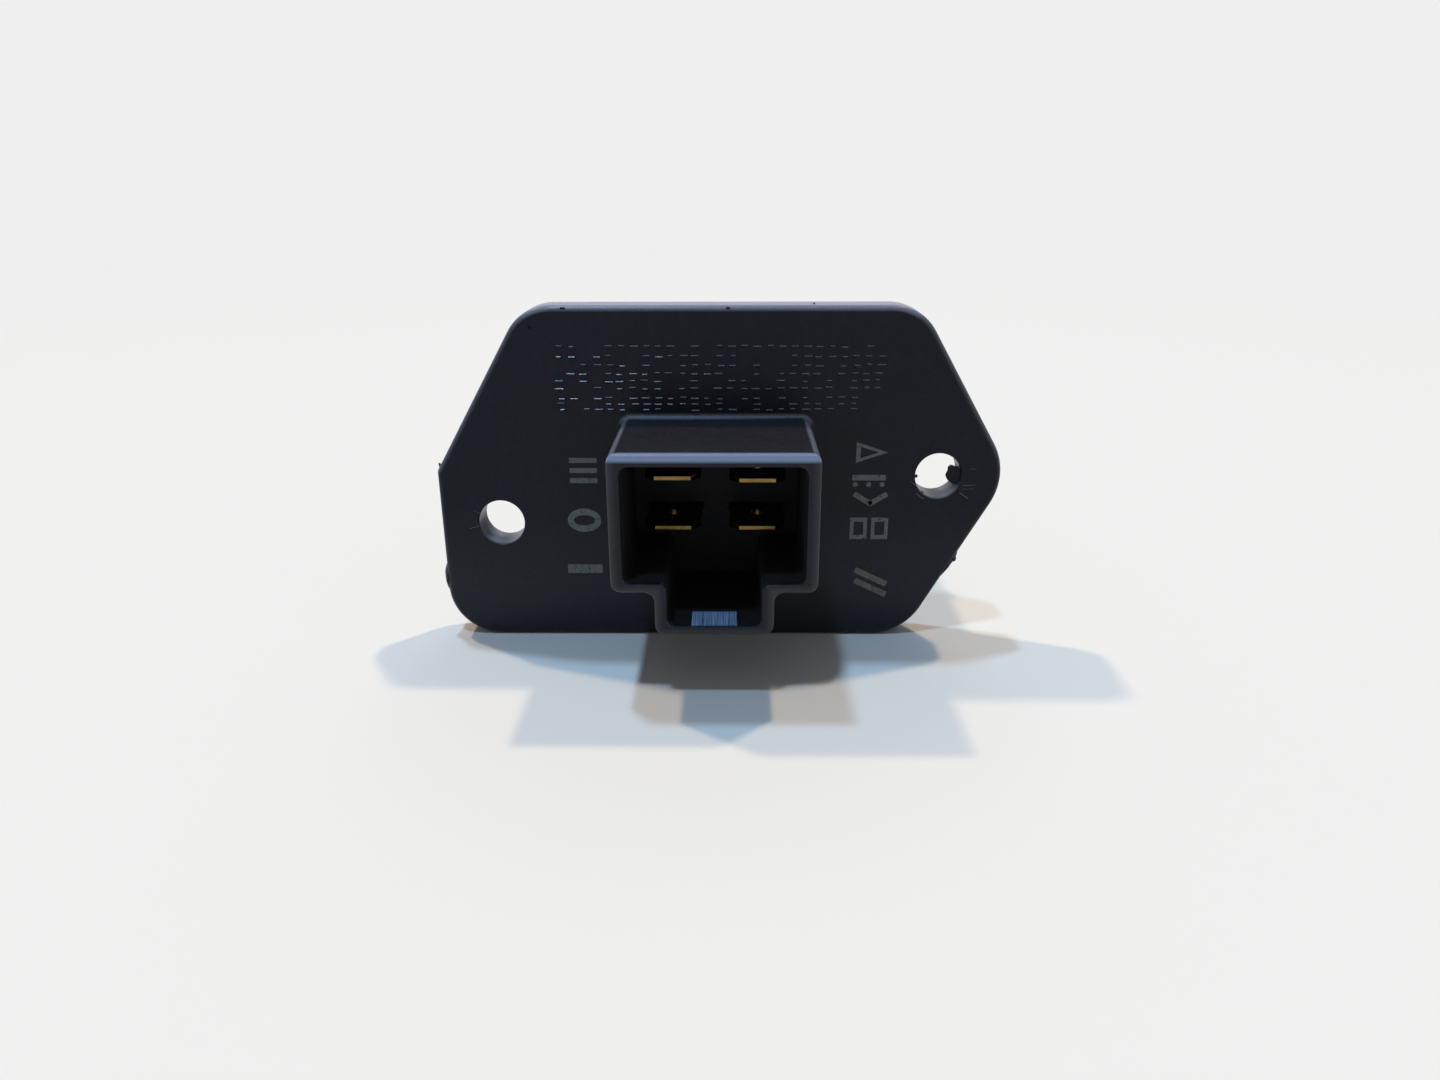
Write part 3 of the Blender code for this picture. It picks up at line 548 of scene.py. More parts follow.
# %% Black nylon
def make_black_nylon(name="black nylon", gloss=0.0):
    """Black moulded nylon. Its rims get a painted highlight, for the window, when they are seen along the
    surface.
    """
    material, tree, shader = new_finish(name, Specular_IOR_Level=0.17, Specular_Tint=(0.84, 0.90, 1.0, 1.0))
    blotch = place_group(tree, BLOTCHES, Size=140.0, Contrast=1.6)["Value"]
    grain = place_group(tree, GRAIN, Size=5200.0, Depth=0.00003, Strength=0.3)
    dust = place_group(tree, DUST, Amount=0.5, Patch_size=900.0)["Mask"]
    wear_and_sheen = place_group(tree, WEAR_AND_SHEEN, Amount=0.8, Break_up=3200.0)
    place = axes(tree, own_place(tree))
    normal = axes(tree, add(tree, "NewGeometry").outputs["Normal"])
    turned = add(tree, "LayerWeight", values={"Blend": 0.5}).outputs["Facing"]
    grazing = ramp(tree, turned, 0.35, 0.62)
    glancing = ramp(tree, turned, 0.13, 0.38)
    upward = ramp(tree, normal["Z"], 0.35, 0.75)

    def box(corners):
        return inside_box(tree, place, *corners)

    def without(mask, share):
        """1 outside a mask, and less by this share inside it."""
        return work(tree, "SUBTRACT", 1.0, times(tree, mask, share))

    core = largest(tree, box(BAY), box(STEM))
    hollow = times(tree, core, ramp(tree, place["Y"], -18.1 * MM, -17.7 * MM))
    in_air = without(core, 1.0)
    lip = times(tree, box(LIP), without(core, 0.75))
    # painted reflection: blue streaks on the latch's slope stand for the window mirrored there
    painted_slope_reflection = times(tree, box(LATCH_SLOPE), ramp(tree, fibres(tree, REFLECTION_STREAKS, 3.0), 0.22, 0.70))
    root = times(tree, box(ROOT), ramp(tree, place["X"], 9 * MM, -3 * MM), upward, glancing)
    brow = times(tree, box(BROW), without(upward, 0.45))
    bores = [times(tree, box(((x - BORE, -1.9, z - BORE), (x + BORE, 2.2, z + BORE), 0.02)), grazing, share)
             for x, z, share in BORES]
    # painted highlight on the plate's top rim, strongest where it is seen along the surface
    front_round = times(tree, ramp(tree, place["Y"], -1.0 * MM, -1.3 * MM), 0.5)
    rim = times(tree, ramp(tree, place["Z"], 39.2 * MM, 39.9 * MM), ramp(tree, normal["Z"], 0.12, 0.50),
                largest(tree, grazing, front_round))
    right = times(tree, ramp(tree, place["X"], 4 * MM, 16 * MM), 0.6)
    # painted reflection: lighter towards the bottom, for the bright floor mirrored in the face
    low = times(tree, ramp(tree, place["Z"], 17 * MM, 5 * MM), in_air, 0.9)
    roof = times(tree, box(ROOF), upward)
    # light specks of filler, painted brighter when seen along the surface: partly real speckle, partly a
    # painted glint
    specks_and_painted_glints = times(tree, grain["Spots"], vary(tree, grazing, 0.7, 0.22))
    worn = largest(tree, wear_and_sheen["Mask"], times(tree, lip, vary(tree, blotch, 0.25, 0.60)))

    colour = coat(
        tree, blend(tree, blotch, (0.0045, 0.0053, 0.0125), (0.0078, 0.0084, 0.0170)),
        (right, (0.0062, 0.0056, 0.0088)),
        (low, (0.0230, 0.0240, 0.0310)),
        (times(tree, roof, grain["Spots"]), (0.140, 0.140, 0.160)),
        (times(tree, roof, 0.5), (0.0220, 0.0210, 0.0270)),
        (specks_and_painted_glints, (0.050, 0.052, 0.064)),
        (worn, (0.056, 0.056, 0.060)),
        # painted highlight on rounded edges that look up, in the open air
        (times(tree, wear_and_sheen["PaintedSheen"], in_air), (0.165, 0.185, 0.235)),
        # painted fill light: the hollow's colour is lifted a little where little light reaches
        (times(tree, hollow, 0.9), (0.0140, 0.0140, 0.0155)),
        (painted_slope_reflection, (0.21, 0.38, 0.66)),
        (rim, (0.225, 0.245, 0.350)),
        # painted highlight: blue glints on the lip's top edge, the socket's root and the screw bores
        (largest(tree, brow, times(tree, root, 0.5), *bores), (0.255, 0.330, 0.540)),
        (times(tree, dust, 0.15), (0.11, 0.105, 0.10)))
    rough = work(tree, "ADD", vary(tree, blotch, 0.12, 0.24 - gloss), times(tree, hollow, 0.35))
    dress(tree, shader, colour, rough, grain["Normal"])
    return material


# %% Metals
def make_metal(name, clean, stained, rough, stain=1.4, edge=None, patchy=0.22):
    """A metal with a stained skin, fine grain and brighter rubbed edges."""
    material, tree, shader = new_finish(name, Metallic=1.0)
    blotch = place_group(tree, BLOTCHES, Size=420.0, Contrast=stain * 2)["Value"]
    grain = place_group(tree, GRAIN, Size=3800.0, Depth=0.00002, Strength=0.25)
    worn = place_group(tree, WEAR_AND_SHEEN, Amount=0.8, Break_up=2200.0)["Mask"]
    colour = coat(tree, blend(tree, blotch, clean, stained),
                  (worn, edge or [min(1, part * 1.25) for part in clean]),
                  (times(tree, grain["Spots"], 0.3), stained))
    dress(tree, shader, colour, vary(tree, blotch, patchy, rough), grain["Normal"])
    return material


# %% Epoxy, card and paint
CARD_FIBRES = (260, 4000, 2600)


def make_epoxy():
    material, tree, shader = new_finish("amber epoxy", Coat_Weight=0.4, Coat_Roughness=0.12)
    blotch = place_group(tree, BLOTCHES, Size=520.0, Contrast=2.4)["Value"]
    grain = place_group(tree, GRAIN, Size=1500.0, Depth=0.00005, Strength=0.4)
    colour = blend(tree, blotch, (0.20, 0.10, 0.025), (0.42, 0.24, 0.07))
    dress(tree, shader, colour, vary(tree, blotch, 0.2, 0.28), grain["Normal"])
    return material


def make_card_finish():
    """Pressed paper and resin: brown, with long fibres and scorched patches."""
    material, tree, shader = new_finish("phenolic card")
    threads = fibres(tree, CARD_FIBRES, 5.0)
    blotch = place_group(tree, BLOTCHES, Size=90.0, Contrast=2.2)["Value"]
    dust = place_group(tree, DUST, Amount=0.6, Patch_size=300.0)["Mask"]
    threaded = blend(tree, ramp(tree, threads, 0.3, 0.7), (0.135, 0.060, 0.027), (0.200, 0.095, 0.045))
    colour = coat(tree, threaded,
                  (times(tree, blotch, 0.45), (0.065, 0.030, 0.016)),
                  (dust, (0.34, 0.30, 0.26)))
    bump = add(tree, "Bump", values={"Strength": 0.35, "Distance": 0.00004}, links={"Height": threads})
    dress(tree, shader, colour, vary(tree, threads, 0.25, 0.4), bump.outputs[0])
    return material


def make_marking_paint(name, fresh, thin):
    """Stamped paint: uneven, rubbed through to the black in places."""
    material, tree, shader = new_finish(name)
    blotch = place_group(tree, BLOTCHES, Size=900.0, Contrast=2.6)["Value"]
    rubbed = place_group(tree, BLOTCHES, Size=2600.0, Contrast=5.0)["Value"]
    grain = place_group(tree, GRAIN, Size=5200.0, Depth=0.00003, Strength=0.4)
    colour = coat(tree, blend(tree, blotch, thin, fresh),
                  (ramp(tree, rubbed, 0.95, 1.25), (0.012, 0.012, 0.016)))
    dress(tree, shader, colour, vary(tree, blotch, 0.2, 0.5), grain["Normal"])
    return material


# %% Make every finish
NYLON = make_black_nylon()
RIB_NYLON = make_black_nylon("black nylon, polished ribs", 0.1)
BRASS = make_metal("blade brass", (0.27, 0.185, 0.055), (0.13, 0.085, 0.027), 0.12,
                   edge=(0.50, 0.36, 0.115), patchy=0.14)
# a darker copy of the blade brass for the lower blades: painted shade
SHADED_BRASS = make_metal("darker blade brass, painted shade", (0.18, 0.12, 0.036), (0.09, 0.06, 0.02), 0.18,
                        edge=(0.30, 0.21, 0.07), patchy=0.2)
RIVET_BRASS = make_metal("rivet brass", (0.66, 0.50, 0.24), (0.38, 0.27, 0.12), 0.26)
STEEL = make_metal("plated steel", (0.56, 0.55, 0.52), (0.34, 0.32, 0.28), 0.28, stain=1.0)
NICHROME = make_metal("fired nichrome", (0.24, 0.22, 0.21), (0.10, 0.085, 0.08), 0.38,
                      edge=(0.42, 0.40, 0.38))
CAN = make_metal("fuse can", (0.62, 0.62, 0.61), (0.40, 0.39, 0.37), 0.22, stain=0.8)
TINNED = make_metal("tinned copper", (0.62, 0.59, 0.54), (0.40, 0.34, 0.26), 0.26)
EPOXY = make_epoxy()
CARD = make_card_finish()
PAINT = make_marking_paint("pale marking paint", (0.115, 0.135, 0.150), (0.060, 0.072, 0.080))
OLD_PAINT = make_marking_paint("yellowed marking paint", (0.130, 0.135, 0.115), (0.070, 0.072, 0.064))
print("finishes:", len(bpy.data.materials))


# %% Hand a piece over
def hand_over(item, material, slot, *nodes):
    """Shade a piece, give it its finish and hide the solids it stands for.

    The large faces decide the shading, so that flat sides look flat between round edges.
    """
    hold(item)
    bpy.ops.object.shade_smooth_by_angle(angle=radians(32))
    modify(item, "WEIGHTED_NORMAL", keep_sharp=True, weight=90)
    item.data.materials.clear()
    item.data.materials.append(material)
    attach(item, "root")
    if nodes:
        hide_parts(*nodes)
    print(item.name, len(item.data.polygons), "faces")
    return item


# %% [markdown]
# ## The moulding: its plate
#
# A plate with six round corners is the hull of six discs. That is quicker and truer than
# drawing arcs: each disc gets the corner's own radius, and the hull finds every tangent.
# The front rim has the generous round that a mould leaves, the back rim hardly any.

# %% Plate sizes
PLATE_THICK = 4.0 * MM
FRONT_Y = -PLATE_THICK / 2
BACK_Y = PLATE_THICK / 2
PLATE_TOP = 40.8 * MM
LEFT_EDGE = -33.75 * MM
FRONT_ROUND = 0.8 * MM
BACK_ROUND = 0.25 * MM
CORNERS = [                        # x, z and radius
    (-27.55 * MM, 6.2 * MM, 6.2 * MM),
    (19.15 * MM, 7.0 * MM, 7.0 * MM),
    (26.25 * MM, 20.85 * MM, 7.5 * MM),
    (19.75 * MM, 34.8 * MM, 6.0 * MM),
    (-18.95 * MM, 34.8 * MM, 6.0 * MM),
    (-32.65 * MM, 21.0 * MM, 1.1 * MM),
]


# %% Hull of six discs
def make_plate():
    discs = [drum("disc", (x, 0, z), "y", radius, PLATE_THICK, 96) for x, z, radius in CORNERS]
    plate = join_all(discs, "moulded_body")
    pick(plate, "VERT", everything)
    bpy.ops.mesh.convex_hull()
    merge_flats(0.4)
    front = round_edges(plate, at("y", FRONT_Y), FRONT_ROUND, 6)
    back = round_edges(plate, at("y", BACK_Y), BACK_ROUND, 2)
    print("plate rim:", front, "edges in front,", back, "behind")
    return plate


body = make_plate()

# %% [markdown]
# ## The moulding: its socket
#
# The plug's housing is a T in section: a wide bay for four blades, and a stem below for
# the latch. We slice a block where the stem begins, pull the stem down, and round the
# upright edges. The same recipe, a wall's thickness smaller, cuts the hollow.

# %% Socket sizes
SOCKET_X = -0.25 * MM
MOUTH_Y = -18.7 * MM
FLOOR_Y = -2.5 * MM
SOCKET_HALF = 11.1 * MM
STEM_HALF = 6.45 * MM
SOCKET_TOP = 27.95 * MM
SHOULDER_Z = 12.65 * MM
STEM_LOW = 7.75 * MM
SIDE_WALL = 1.4 * MM
LOW_WALL = 1.05 * MM
OUTER_CORNER = 1.1 * MM
INNER_CORNER = 0.9 * MM
OUTER_LIP = 0.5 * MM
INNER_LIP = 0.3 * MM
ROOT_FILLET = 0.6 * MM
SHARP = radians(60)


# %% A block in the shape of a T
def make_tee(name, side_wall, low_wall, front, back, corner):
    half = SOCKET_HALF - side_wall
    stem = STEM_HALF - side_wall
    low = SHOULDER_Z + low_wall
    tee = block(name, (SOCKET_X - half, front, low), (SOCKET_X + half, back, SOCKET_TOP - side_wall))
    slice_at(tee, "x", SOCKET_X - stem, SOCKET_X + stem)
    draw_out(tee, lambda face: face.normal.z < -0.9 and near(middle(face).x, SOCKET_X, MM),
             (0, 0, STEM_LOW - SHOULDER_Z))
    pick(tee, "VERT", everything)
    merge_flats()
    round_edges(tee, lambda edge: near(edge.calc_length(), back - front, 0.1 * MM)
                and near(edge.verts[0].co.x, edge.verts[1].co.x), corner, 5)
    return tee


def make_hollow(front):
    return make_tee("hollow", SIDE_WALL, LOW_WALL, front, FLOOR_Y, INNER_CORNER)


def make_socket():
    socket = make_tee("socket", 0, 0, MOUTH_Y, 0, OUTER_CORNER)
    round_edges(socket, at("y", MOUTH_Y), OUTER_LIP, 4)
    cut(socket, make_hollow(MOUTH_Y - MM))

    def on_inner_lip(edge):
        return at("y", MOUTH_Y)(edge) and edge.calc_face_angle(0) > SHARP

    print("inner lip:", round_edges(socket, on_inner_lip, INNER_LIP, 3), "edges")
    return socket


# %% Join the socket and round its root
def on_socket_root(edge):
    inside = all(abs(v.co.x - SOCKET_X) < SOCKET_HALF + 0.1 * MM
                 and STEM_LOW - 0.1 * MM < v.co.z < SOCKET_TOP + 0.1 * MM for v in edge.verts)
    return at("y", FRONT_Y)(edge) and inside and edge.calc_face_angle(0) > SHARP


# The hollow is deeper than the plate's face, so the union would fill its last half
# millimetre. The same T is cut once more through the joined shape.
weld(body, make_socket())
cut(body, make_hollow(FRONT_Y - 3 * MM))
print("socket root:", round_edges(body, on_socket_root, ROOT_FILLET, 4), "edges")

# %% [markdown]
# ## The moulding: latch ramp, plinth and holes
#
# The plug's latch climbs a small wedge in the stem, so we model it as a block whose front
# edge is pushed down to the floor. Behind the plate a low tray, the plinth, carries the
# strips. Its rim comes from one inset and one extrusion. Slots and screw holes are cut.

# %% Latch ramp
RAMP_HALF = 2.45 * MM
RAMP_TOP = 9.7 * MM
RAMP_FRONT = MOUTH_Y + 0.5 * MM
RAMP_CREST = MOUTH_Y + 1.9 * MM
RAMP_BACK = MOUTH_Y + 2.7 * MM


def make_ramp():
    low = STEM_LOW + LOW_WALL
    wedge = block("latch_ramp", (SOCKET_X - RAMP_HALF, RAMP_FRONT, low - 0.5 * MM),
                  (SOCKET_X + RAMP_HALF, RAMP_BACK, RAMP_TOP))
    slice_at(wedge, "y", RAMP_CREST)
    push(wedge, lambda v: near(v.co.y, RAMP_FRONT) and near(v.co.z, RAMP_TOP), (0, 0, low - RAMP_TOP))
    return soften(wedge, 0.1 * MM, 2, 20)


weld(body, make_ramp())

# %% Plinth
PLINTH_HALF = 20.5 * MM
PLINTH_LOW = 3.0 * MM
PLINTH_HIGH = 32.2 * MM
PLINTH_CORNER = 3.0 * MM
PLINTH_Y = 5.0 * MM
RIM_Y = 6.5 * MM
RIM_WIDTH = 1.4 * MM


def make_plinth():
    plinth = block("plinth", (-PLINTH_HALF, 0, PLINTH_LOW), (PLINTH_HALF, RIM_Y, PLINTH_HIGH))
    round_edges(plinth, runs_along("y"), PLINTH_CORNER, 8)
    pick(plinth, "FACE", lambda face: face.normal.y > 0.9)
    bpy.ops.mesh.inset(thickness=RIM_WIDTH)
    pull((0, PLINTH_Y - RIM_Y, 0))
    leave()
    round_edges(plinth, at("y", RIM_Y), 0.3 * MM, 3)
    return plinth


weld(body, make_plinth())

# %% Slots, screw holes and ejector marks
BLADES = {                         # x, z and which way its strip lies
    "upper_left": (-5.0 * MM, 23.05 * MM, 1),
    "upper_right": (4.5 * MM, 22.8 * MM, 1),
    "lower_left": (-5.0 * MM, 17.25 * MM, -1),
    "lower_right": (4.5 * MM, 17.25 * MM, -1),
}
BLADE_HALF = 3.15 * MM
BLADE_THICK = 0.8 * MM
SLIP = 0.1 * MM                    # the gap round a blade in its slot
POST_ROOT = ((-18.1 * MM, 2.6 * MM, 23.1 * MM), (-12.9 * MM, PLINTH_Y + MM, 24.4 * MM))
SCREW_HOLES = ((-26.35 * MM, 14.95 * MM), (26.25 * MM, 20.85 * MM))
HOLE_R = 2.75 * MM
PIN_R = 1.25 * MM
PIN_PLACES = ((-13.5, 36.4), (14.0, 36.4), (-24.6, 7.6), (24.0, 11.0))


def cut_slots():
    for x, z, _ in BLADES.values():
        cut(body, block("slot", (x - BLADE_HALF - SLIP, FLOOR_Y - MM, z - BLADE_THICK / 2 - SLIP),
                        (x + BLADE_HALF + SLIP, PLINTH_Y + MM, z + BLADE_THICK / 2 + SLIP)))
    cut(body, block("slot", *POST_ROOT))


def cut_screw_hole(x, z):
    cut(body, drum("hole", (x, 0, z), "y", HOLE_R, 12 * MM, 72))

    def on_front_edge(edge):
        return at("y", FRONT_Y)(edge) and all(near(hypot(v.co.x - x, v.co.z - z), HOLE_R, 0.02 * MM)
                                              for v in edge.verts)

    print("hole edge:", round_edges(body, on_front_edge, 0.2 * MM, 3), "edges")


cut_slots()
for x, z in SCREW_HOLES:
    cut_screw_hole(x, z)
for x, z in PIN_PLACES:            # the shallow rounds that a mould's ejector pins leave
    cut(body, drum("pin", (x * MM, BACK_Y + 0.4 * MM, z * MM), "y", PIN_R, MM, 40))

# %% [markdown]
# ## The moulding: its faults
#
# This one has had a hard life. A screw has torn a skin of plastic that now stands into
# the right hole, and has scored the face round it. A blister sits on the left edge, flash
# on the left corner, a smeared burr on the slanted edge at the right, and the rim has
# three nicks. Each fault is a small solid that is joined to the moulding or cut out of it.

# %% Torn skin in the right hole
def make_torn_skin():
    skin = drum("torn_skin", (0, 0, 0), "y", 1.0 * MM, 0.7 * MM, 28)
    skin.scale = (1.55, 1, 1.15)
    skin.rotation_euler = (0, 0, -0.35)
    skin.location = (28.95 * MM, -0.75 * MM, 20.6 * MM)
    settle(skin)
    roughen(skin, lambda v: v.co.x < 28.2 * MM, 0.07 * MM, 5)
    push(skin, lambda v: v.co.x < 28.4 * MM and v.co.z > 21.2 * MM, (-0.12 * MM, 0.1 * MM, 0.26 * MM))
    round_edges(skin, lambda edge: edge.calc_face_angle(0) > radians(50), 0.12 * MM, 2)
    return cut(skin, drum("notch", (28.6 * MM, -0.5 * MM, 22.0 * MM), "y", 0.42 * MM, 3 * MM, 20))


weld(body, make_torn_skin())

# %% Blister, flash and burrs
SLIVERS = [                        # place and radius, length, in mm, and its turn
    ((LEFT_EDGE / MM + 0.1, -0.2, 21.6), (0.4, 0.8), (0.2, -0.5, 0.3)),
    ((28.15, 0.6, 8.6), (0.3, 0.9), (0.3, 2.0, 0)),
    ((10.9, -0.6, PLATE_TOP / MM - 0.05), (0.3, 0.5), (0, 0.6, 0)),
]
BLISTER = ((LEFT_EDGE + 0.15 * MM, -0.9 * MM, 7.5 * MM), (0.6 * MM, 0.8 * MM, 1.9 * MM), 0)
BURRS = [                          # place and half sizes in mm, and its lean to the right
    ((28.15, -0.9, 9.0), (0.34, 0.9, 2.3), 0.606),
    ((28.95, -1.2, 10.05), (0.42, 0.45, 0.4), 0.606),
    ((23.62, -1.65, 20.75), (0.24, 0.3, 0.2), 0),
    ((24.42, -1.65, 18.72), (0.28, 0.3, 0.16), 0),
]


def make_bead(centre, size, lean):
    """A lumpy pebble of plastic."""
    bead = new_shape("ico_sphere", "bead", subdivisions=3, radius=1)
    bead.location = centre
    bead.scale = size
    bead.rotation_euler = (0, lean, 0)
    settle(bead)
    roughen(bead, everything, min(size) * 0.12, 11)
    return bead


def make_sliver(centre, size, turn):
    """A sharp sliver of flash."""
    return new_shape("cone", "sliver", vertices=5, radius1=size[0], radius2=size[0] * 0.2, depth=size[1],
                     location=centre, rotation=turn)


weld(body, make_bead(*BLISTER))
for make, faults in ((make_sliver, SLIVERS), (make_bead, BURRS)):
    for centre, size, turn in faults:
        weld(body, make(Vector(centre) * MM, Vector(size) * MM, turn))

# %% Scores and nicks
SCORES = [                         # two ends on the face, and a width
    ((29.77, 21.72), (30.68, 21.78), 0.096),
    ((29.15, 19.72), (30.76, 19.79), 0.132),
    ((29.25, 19.25), (30.55, 19.30), 0.084),
    ((28.84, 18.72), (29.91, 18.04), 0.156),
    ((22.95, 20.15), (23.84, 19.40), 0.120),
    ((23.72, 18.62), (24.69, 17.90), 0.168),
    ((-30.30, 14.10), (-29.20, 14.45), 0.096),
    ((-29.70, 16.55), (-28.95, 16.10), 0.096),
]
NICKS = [                          # x, z and half length
    (-17.55 * MM, PLATE_TOP, 0.30 * MM),
    (1.17 * MM, PLATE_TOP, 0.22 * MM),
    (-21.4 * MM, 38.7 * MM, 0.18 * MM),
]


def cut_score(start, end, width):
    """A V-shaped groove along the face."""
    across, rise = end[0] - start[0], end[1] - start[1]
    half = (hypot(across, rise) * MM / 2, width * MM / 2, width * MM / 2)
    groove = block("groove", [-side for side in half], half)
    groove.rotation_euler = (pi / 4, 0, 0)
    settle(groove)
    groove.rotation_euler = (0, -Vector((across, rise)).angle_signed(Vector((1, 0))), 0)
    groove.location = ((start[0] + end[0]) / 2 * MM, FRONT_Y, (start[1] + end[1]) / 2 * MM)
    cut(body, settle(groove))


for score in SCORES:
    cut_score(*score)
for x, z, half in NICKS:
    cut(body, block("nick", (x - half, FRONT_Y - 0.3 * MM, z - 0.45 * MM),
                    (x + half, FRONT_Y + 0.28 * MM, z - 0.12 * MM)))


# %% Keep the front face flat
def flatten_front(item):
    """Give the front face one normal all over."""
    mesh = item.data
    normals = [corner.vector.copy() for corner in mesh.corner_normals]
    flat = 0
    for face in mesh.polygons:
        if face.normal.y > -0.9:
            continue
        for corner in face.loop_indices:
            if near(mesh.vertices[mesh.loops[corner].vertex_index].co.y, FRONT_Y, 0.002 * MM):
                normals[corner] = Vector((0, -1, 0))
                flat += 1
    mesh.normals_split_custom_set(normals)
    print("corners set flat:", flat)


hand_over(body, NYLON, "black_moulding", "mounting_plate")
flatten_front(body)

# %% [markdown]
# ## Raised marks on the face
#
# The face carries three rows of small raised marks of the same plastic. They matter to the
# look, because their upper edges catch the light as short bright dashes. Here they are
# plain ribs that say nothing: one rib is modelled, and copies of it fill the rows.

# %% One rib, many copies
RIB_ROWS = [                       # x from, x to, z of the top, the middle and the low rib
    (-18.6, 19.3, (36.15, 35.05, 34.0)),
    (-18.8, 19.0, (33.05, 32.2, 31.35)),
    (-18.7, 16.0, (30.2, 29.5, 28.85)),
]
RIB_LAYOUTS = [(0, 1, 2), (0, 1, 2), (0, 2), (0, 1), (1, 2), (0, 1, 2), (2,), (0,)]
RIB_PITCH = 1.42


def make_rib():
    rib = block("rib", (-0.5 * MM, FRONT_Y - 0.2 * MM, -0.16 * MM),
                (0.5 * MM, FRONT_Y + 0.1 * MM, 0.16 * MM))
    round_edges(rib, lambda edge: all(v.co.y < FRONT_Y for v in edge.verts), 0.1 * MM, 1)
    return rib


def make_rib_rows():
    pattern = Random(8)
    model = make_rib()
    ribs = []
    for first, last, heights in RIB_ROWS:
        for cell in range(int((last - first) / RIB_PITCH) + 1):
            for level in pattern.choice(RIB_LAYOUTS):
                rib = new_object("rib", model.data.copy())
                x = first + cell * RIB_PITCH + pattern.uniform(0.3, 0.6)
                worn = 0.0 if x < -2 else 0.05 if x < 6 else 0.10
                rib.scale.x = pattern.uniform(0.55, 1.05)
                rib.rotation_euler.x = radians(pattern.uniform(-3, 3))
                rib.location = (x * MM, (worn - 0.035) * MM, heights[level] * MM)
                ribs.append(rib)
    bpy.data.objects.remove(model)
    print("ribs:", len(ribs))
    return join_all(ribs, "raised_ribs")


hand_over(make_rib_rows(), RIB_NYLON, "black_moulding")

# %% [markdown]
# ## Painted marks beside the socket
#
# Two columns of pale marks were stamped on with paint. These are plain shapes in their
# place: bars, rings and stripes. Each is a film three hundredths of a millimetre proud,
# cut from thin plates, so its edge catches no shadow but its paint has its own finish.

# %% Shapes cut from a film
FILM_FRONT = FRONT_Y - 0.03 * MM
FILM_BACK = FRONT_Y + 0.05 * MM
FILM_Y = (FILM_FRONT + FILM_BACK) / 2
FILM_THICK = FILM_BACK - FILM_FRONT


def film(low_x, high_x, low_z, high_z, tilt=0.0):
    """A bar with round corners, turned about its middle."""
    plate = block("film", (low_x * MM, FILM_FRONT, low_z * MM), (high_x * MM, FILM_BACK, high_z * MM))
    round_edges(plate, runs_along("y"), 0.12 * MM, 3)
    if tilt:
        centre = Vector(((low_x + high_x) / 2 * MM, 0, (low_z + high_z) / 2 * MM))
        plate.matrix_world = (Matrix.Translation(centre) @ Matrix.Rotation(tilt, 4, "Y")
                              @ Matrix.Translation(-centre))
        settle(plate)
    return plate


def film_ring(x, z, half_x, half_z, stroke_x, stroke_z, sides=48, turn=0.0):
    """A ring, or with four or three sides a square or a triangle, with its middle cut out."""
    ring = drum("film", (0, 0, 0), "y", 1 * MM, FILM_THICK, sides)
    hole = drum("hole", (0, 0, 0), "y", 1 * MM, MM, sides)
    for item, size_x, size_z in ((ring, half_x, half_z), (hole, half_x - stroke_x, half_z - stroke_z)):
        item.rotation_euler = (0, turn, 0)
        settle(item)
        item.scale = (size_x, 1, size_z)
        item.location = (x * MM, FILM_Y, z * MM)
        settle(item)
    return cut(ring, hole)


# %% The two columns
def make_left_marks():
    stripes = [film(-17.75, -14.45, z, z + 0.62) for z in (19.95, 21.2, 22.45)]
    oval = film_ring(-16.25, 15.25, 2.05, 1.5, 0.75, 0.85)
    return join_all(stripes + [oval, film(-18.6, -14.3, 8.35, 9.5)], "painted_marks_left")


def make_right_marks():
    triangle = film_ring(17.6, 23.75, 2.5, 1.45, 1.05, 0.65, 3, pi / 2)
    bar = film(16.0, 20.0, 20.3, 21.0)
    dots = [drum("film", (x * MM, FILM_Y, 19.8 * MM), "y", 0.3 * MM, FILM_THICK, 20)
            for x in (16.4, 18.0, 19.6)]
    chevron = [film(16.1, 18.6, 17.65, 18.3, 0.55), film(17.95, 20.45, 17.65, 18.3, -0.55)]
    squares = [film_ring(x, 14.25, 1.45, 1.95, 0.62, 0.75, 4, pi / 4) for x in (17.0, 19.55)]
    return join_all([triangle, bar] + dots + chevron + squares, "painted_marks_right")


def make_low_mark():
    return join_all([film(16.6, 21.0, z, z + 0.75, 0.45) for z in (6.1, 7.5)], "painted_mark_low")


hand_over(make_left_marks(), PAINT, "black_moulding")
hand_over(make_right_marks(), PAINT, "black_moulding")
hand_over(make_low_mark(), OLD_PAINT, "black_moulding")

# %% [markdown]
# ## Blades
#
# A blade is a strip of sheet brass, 6.3 by 0.8 mm, which is the commonest flat terminal.
# Its tip is thinned and narrowed so that the plug slides on, and a small hole lets the
# plug click home. A block is sliced twice behind the tip, and the tip's ring is scaled.

# %% Make the four blades
BLADE_TIP = -10.5 * MM
TIP_LONG = 1.0 * MM
NECK_END = 1.6 * MM                # from the tip
TIP_SHARE = (4.1 / 6.3, 1, 0.45 / 0.8)
NECK_SHARE = (5.475 / 6.3, 1, 1)
CLICK_HOLE = 4.6 * MM              # from the tip
CLICK_HOLE_R = 0.9 * MM
TAIL_Y = 13.2 * MM
RIVET_Y = 9.7 * MM


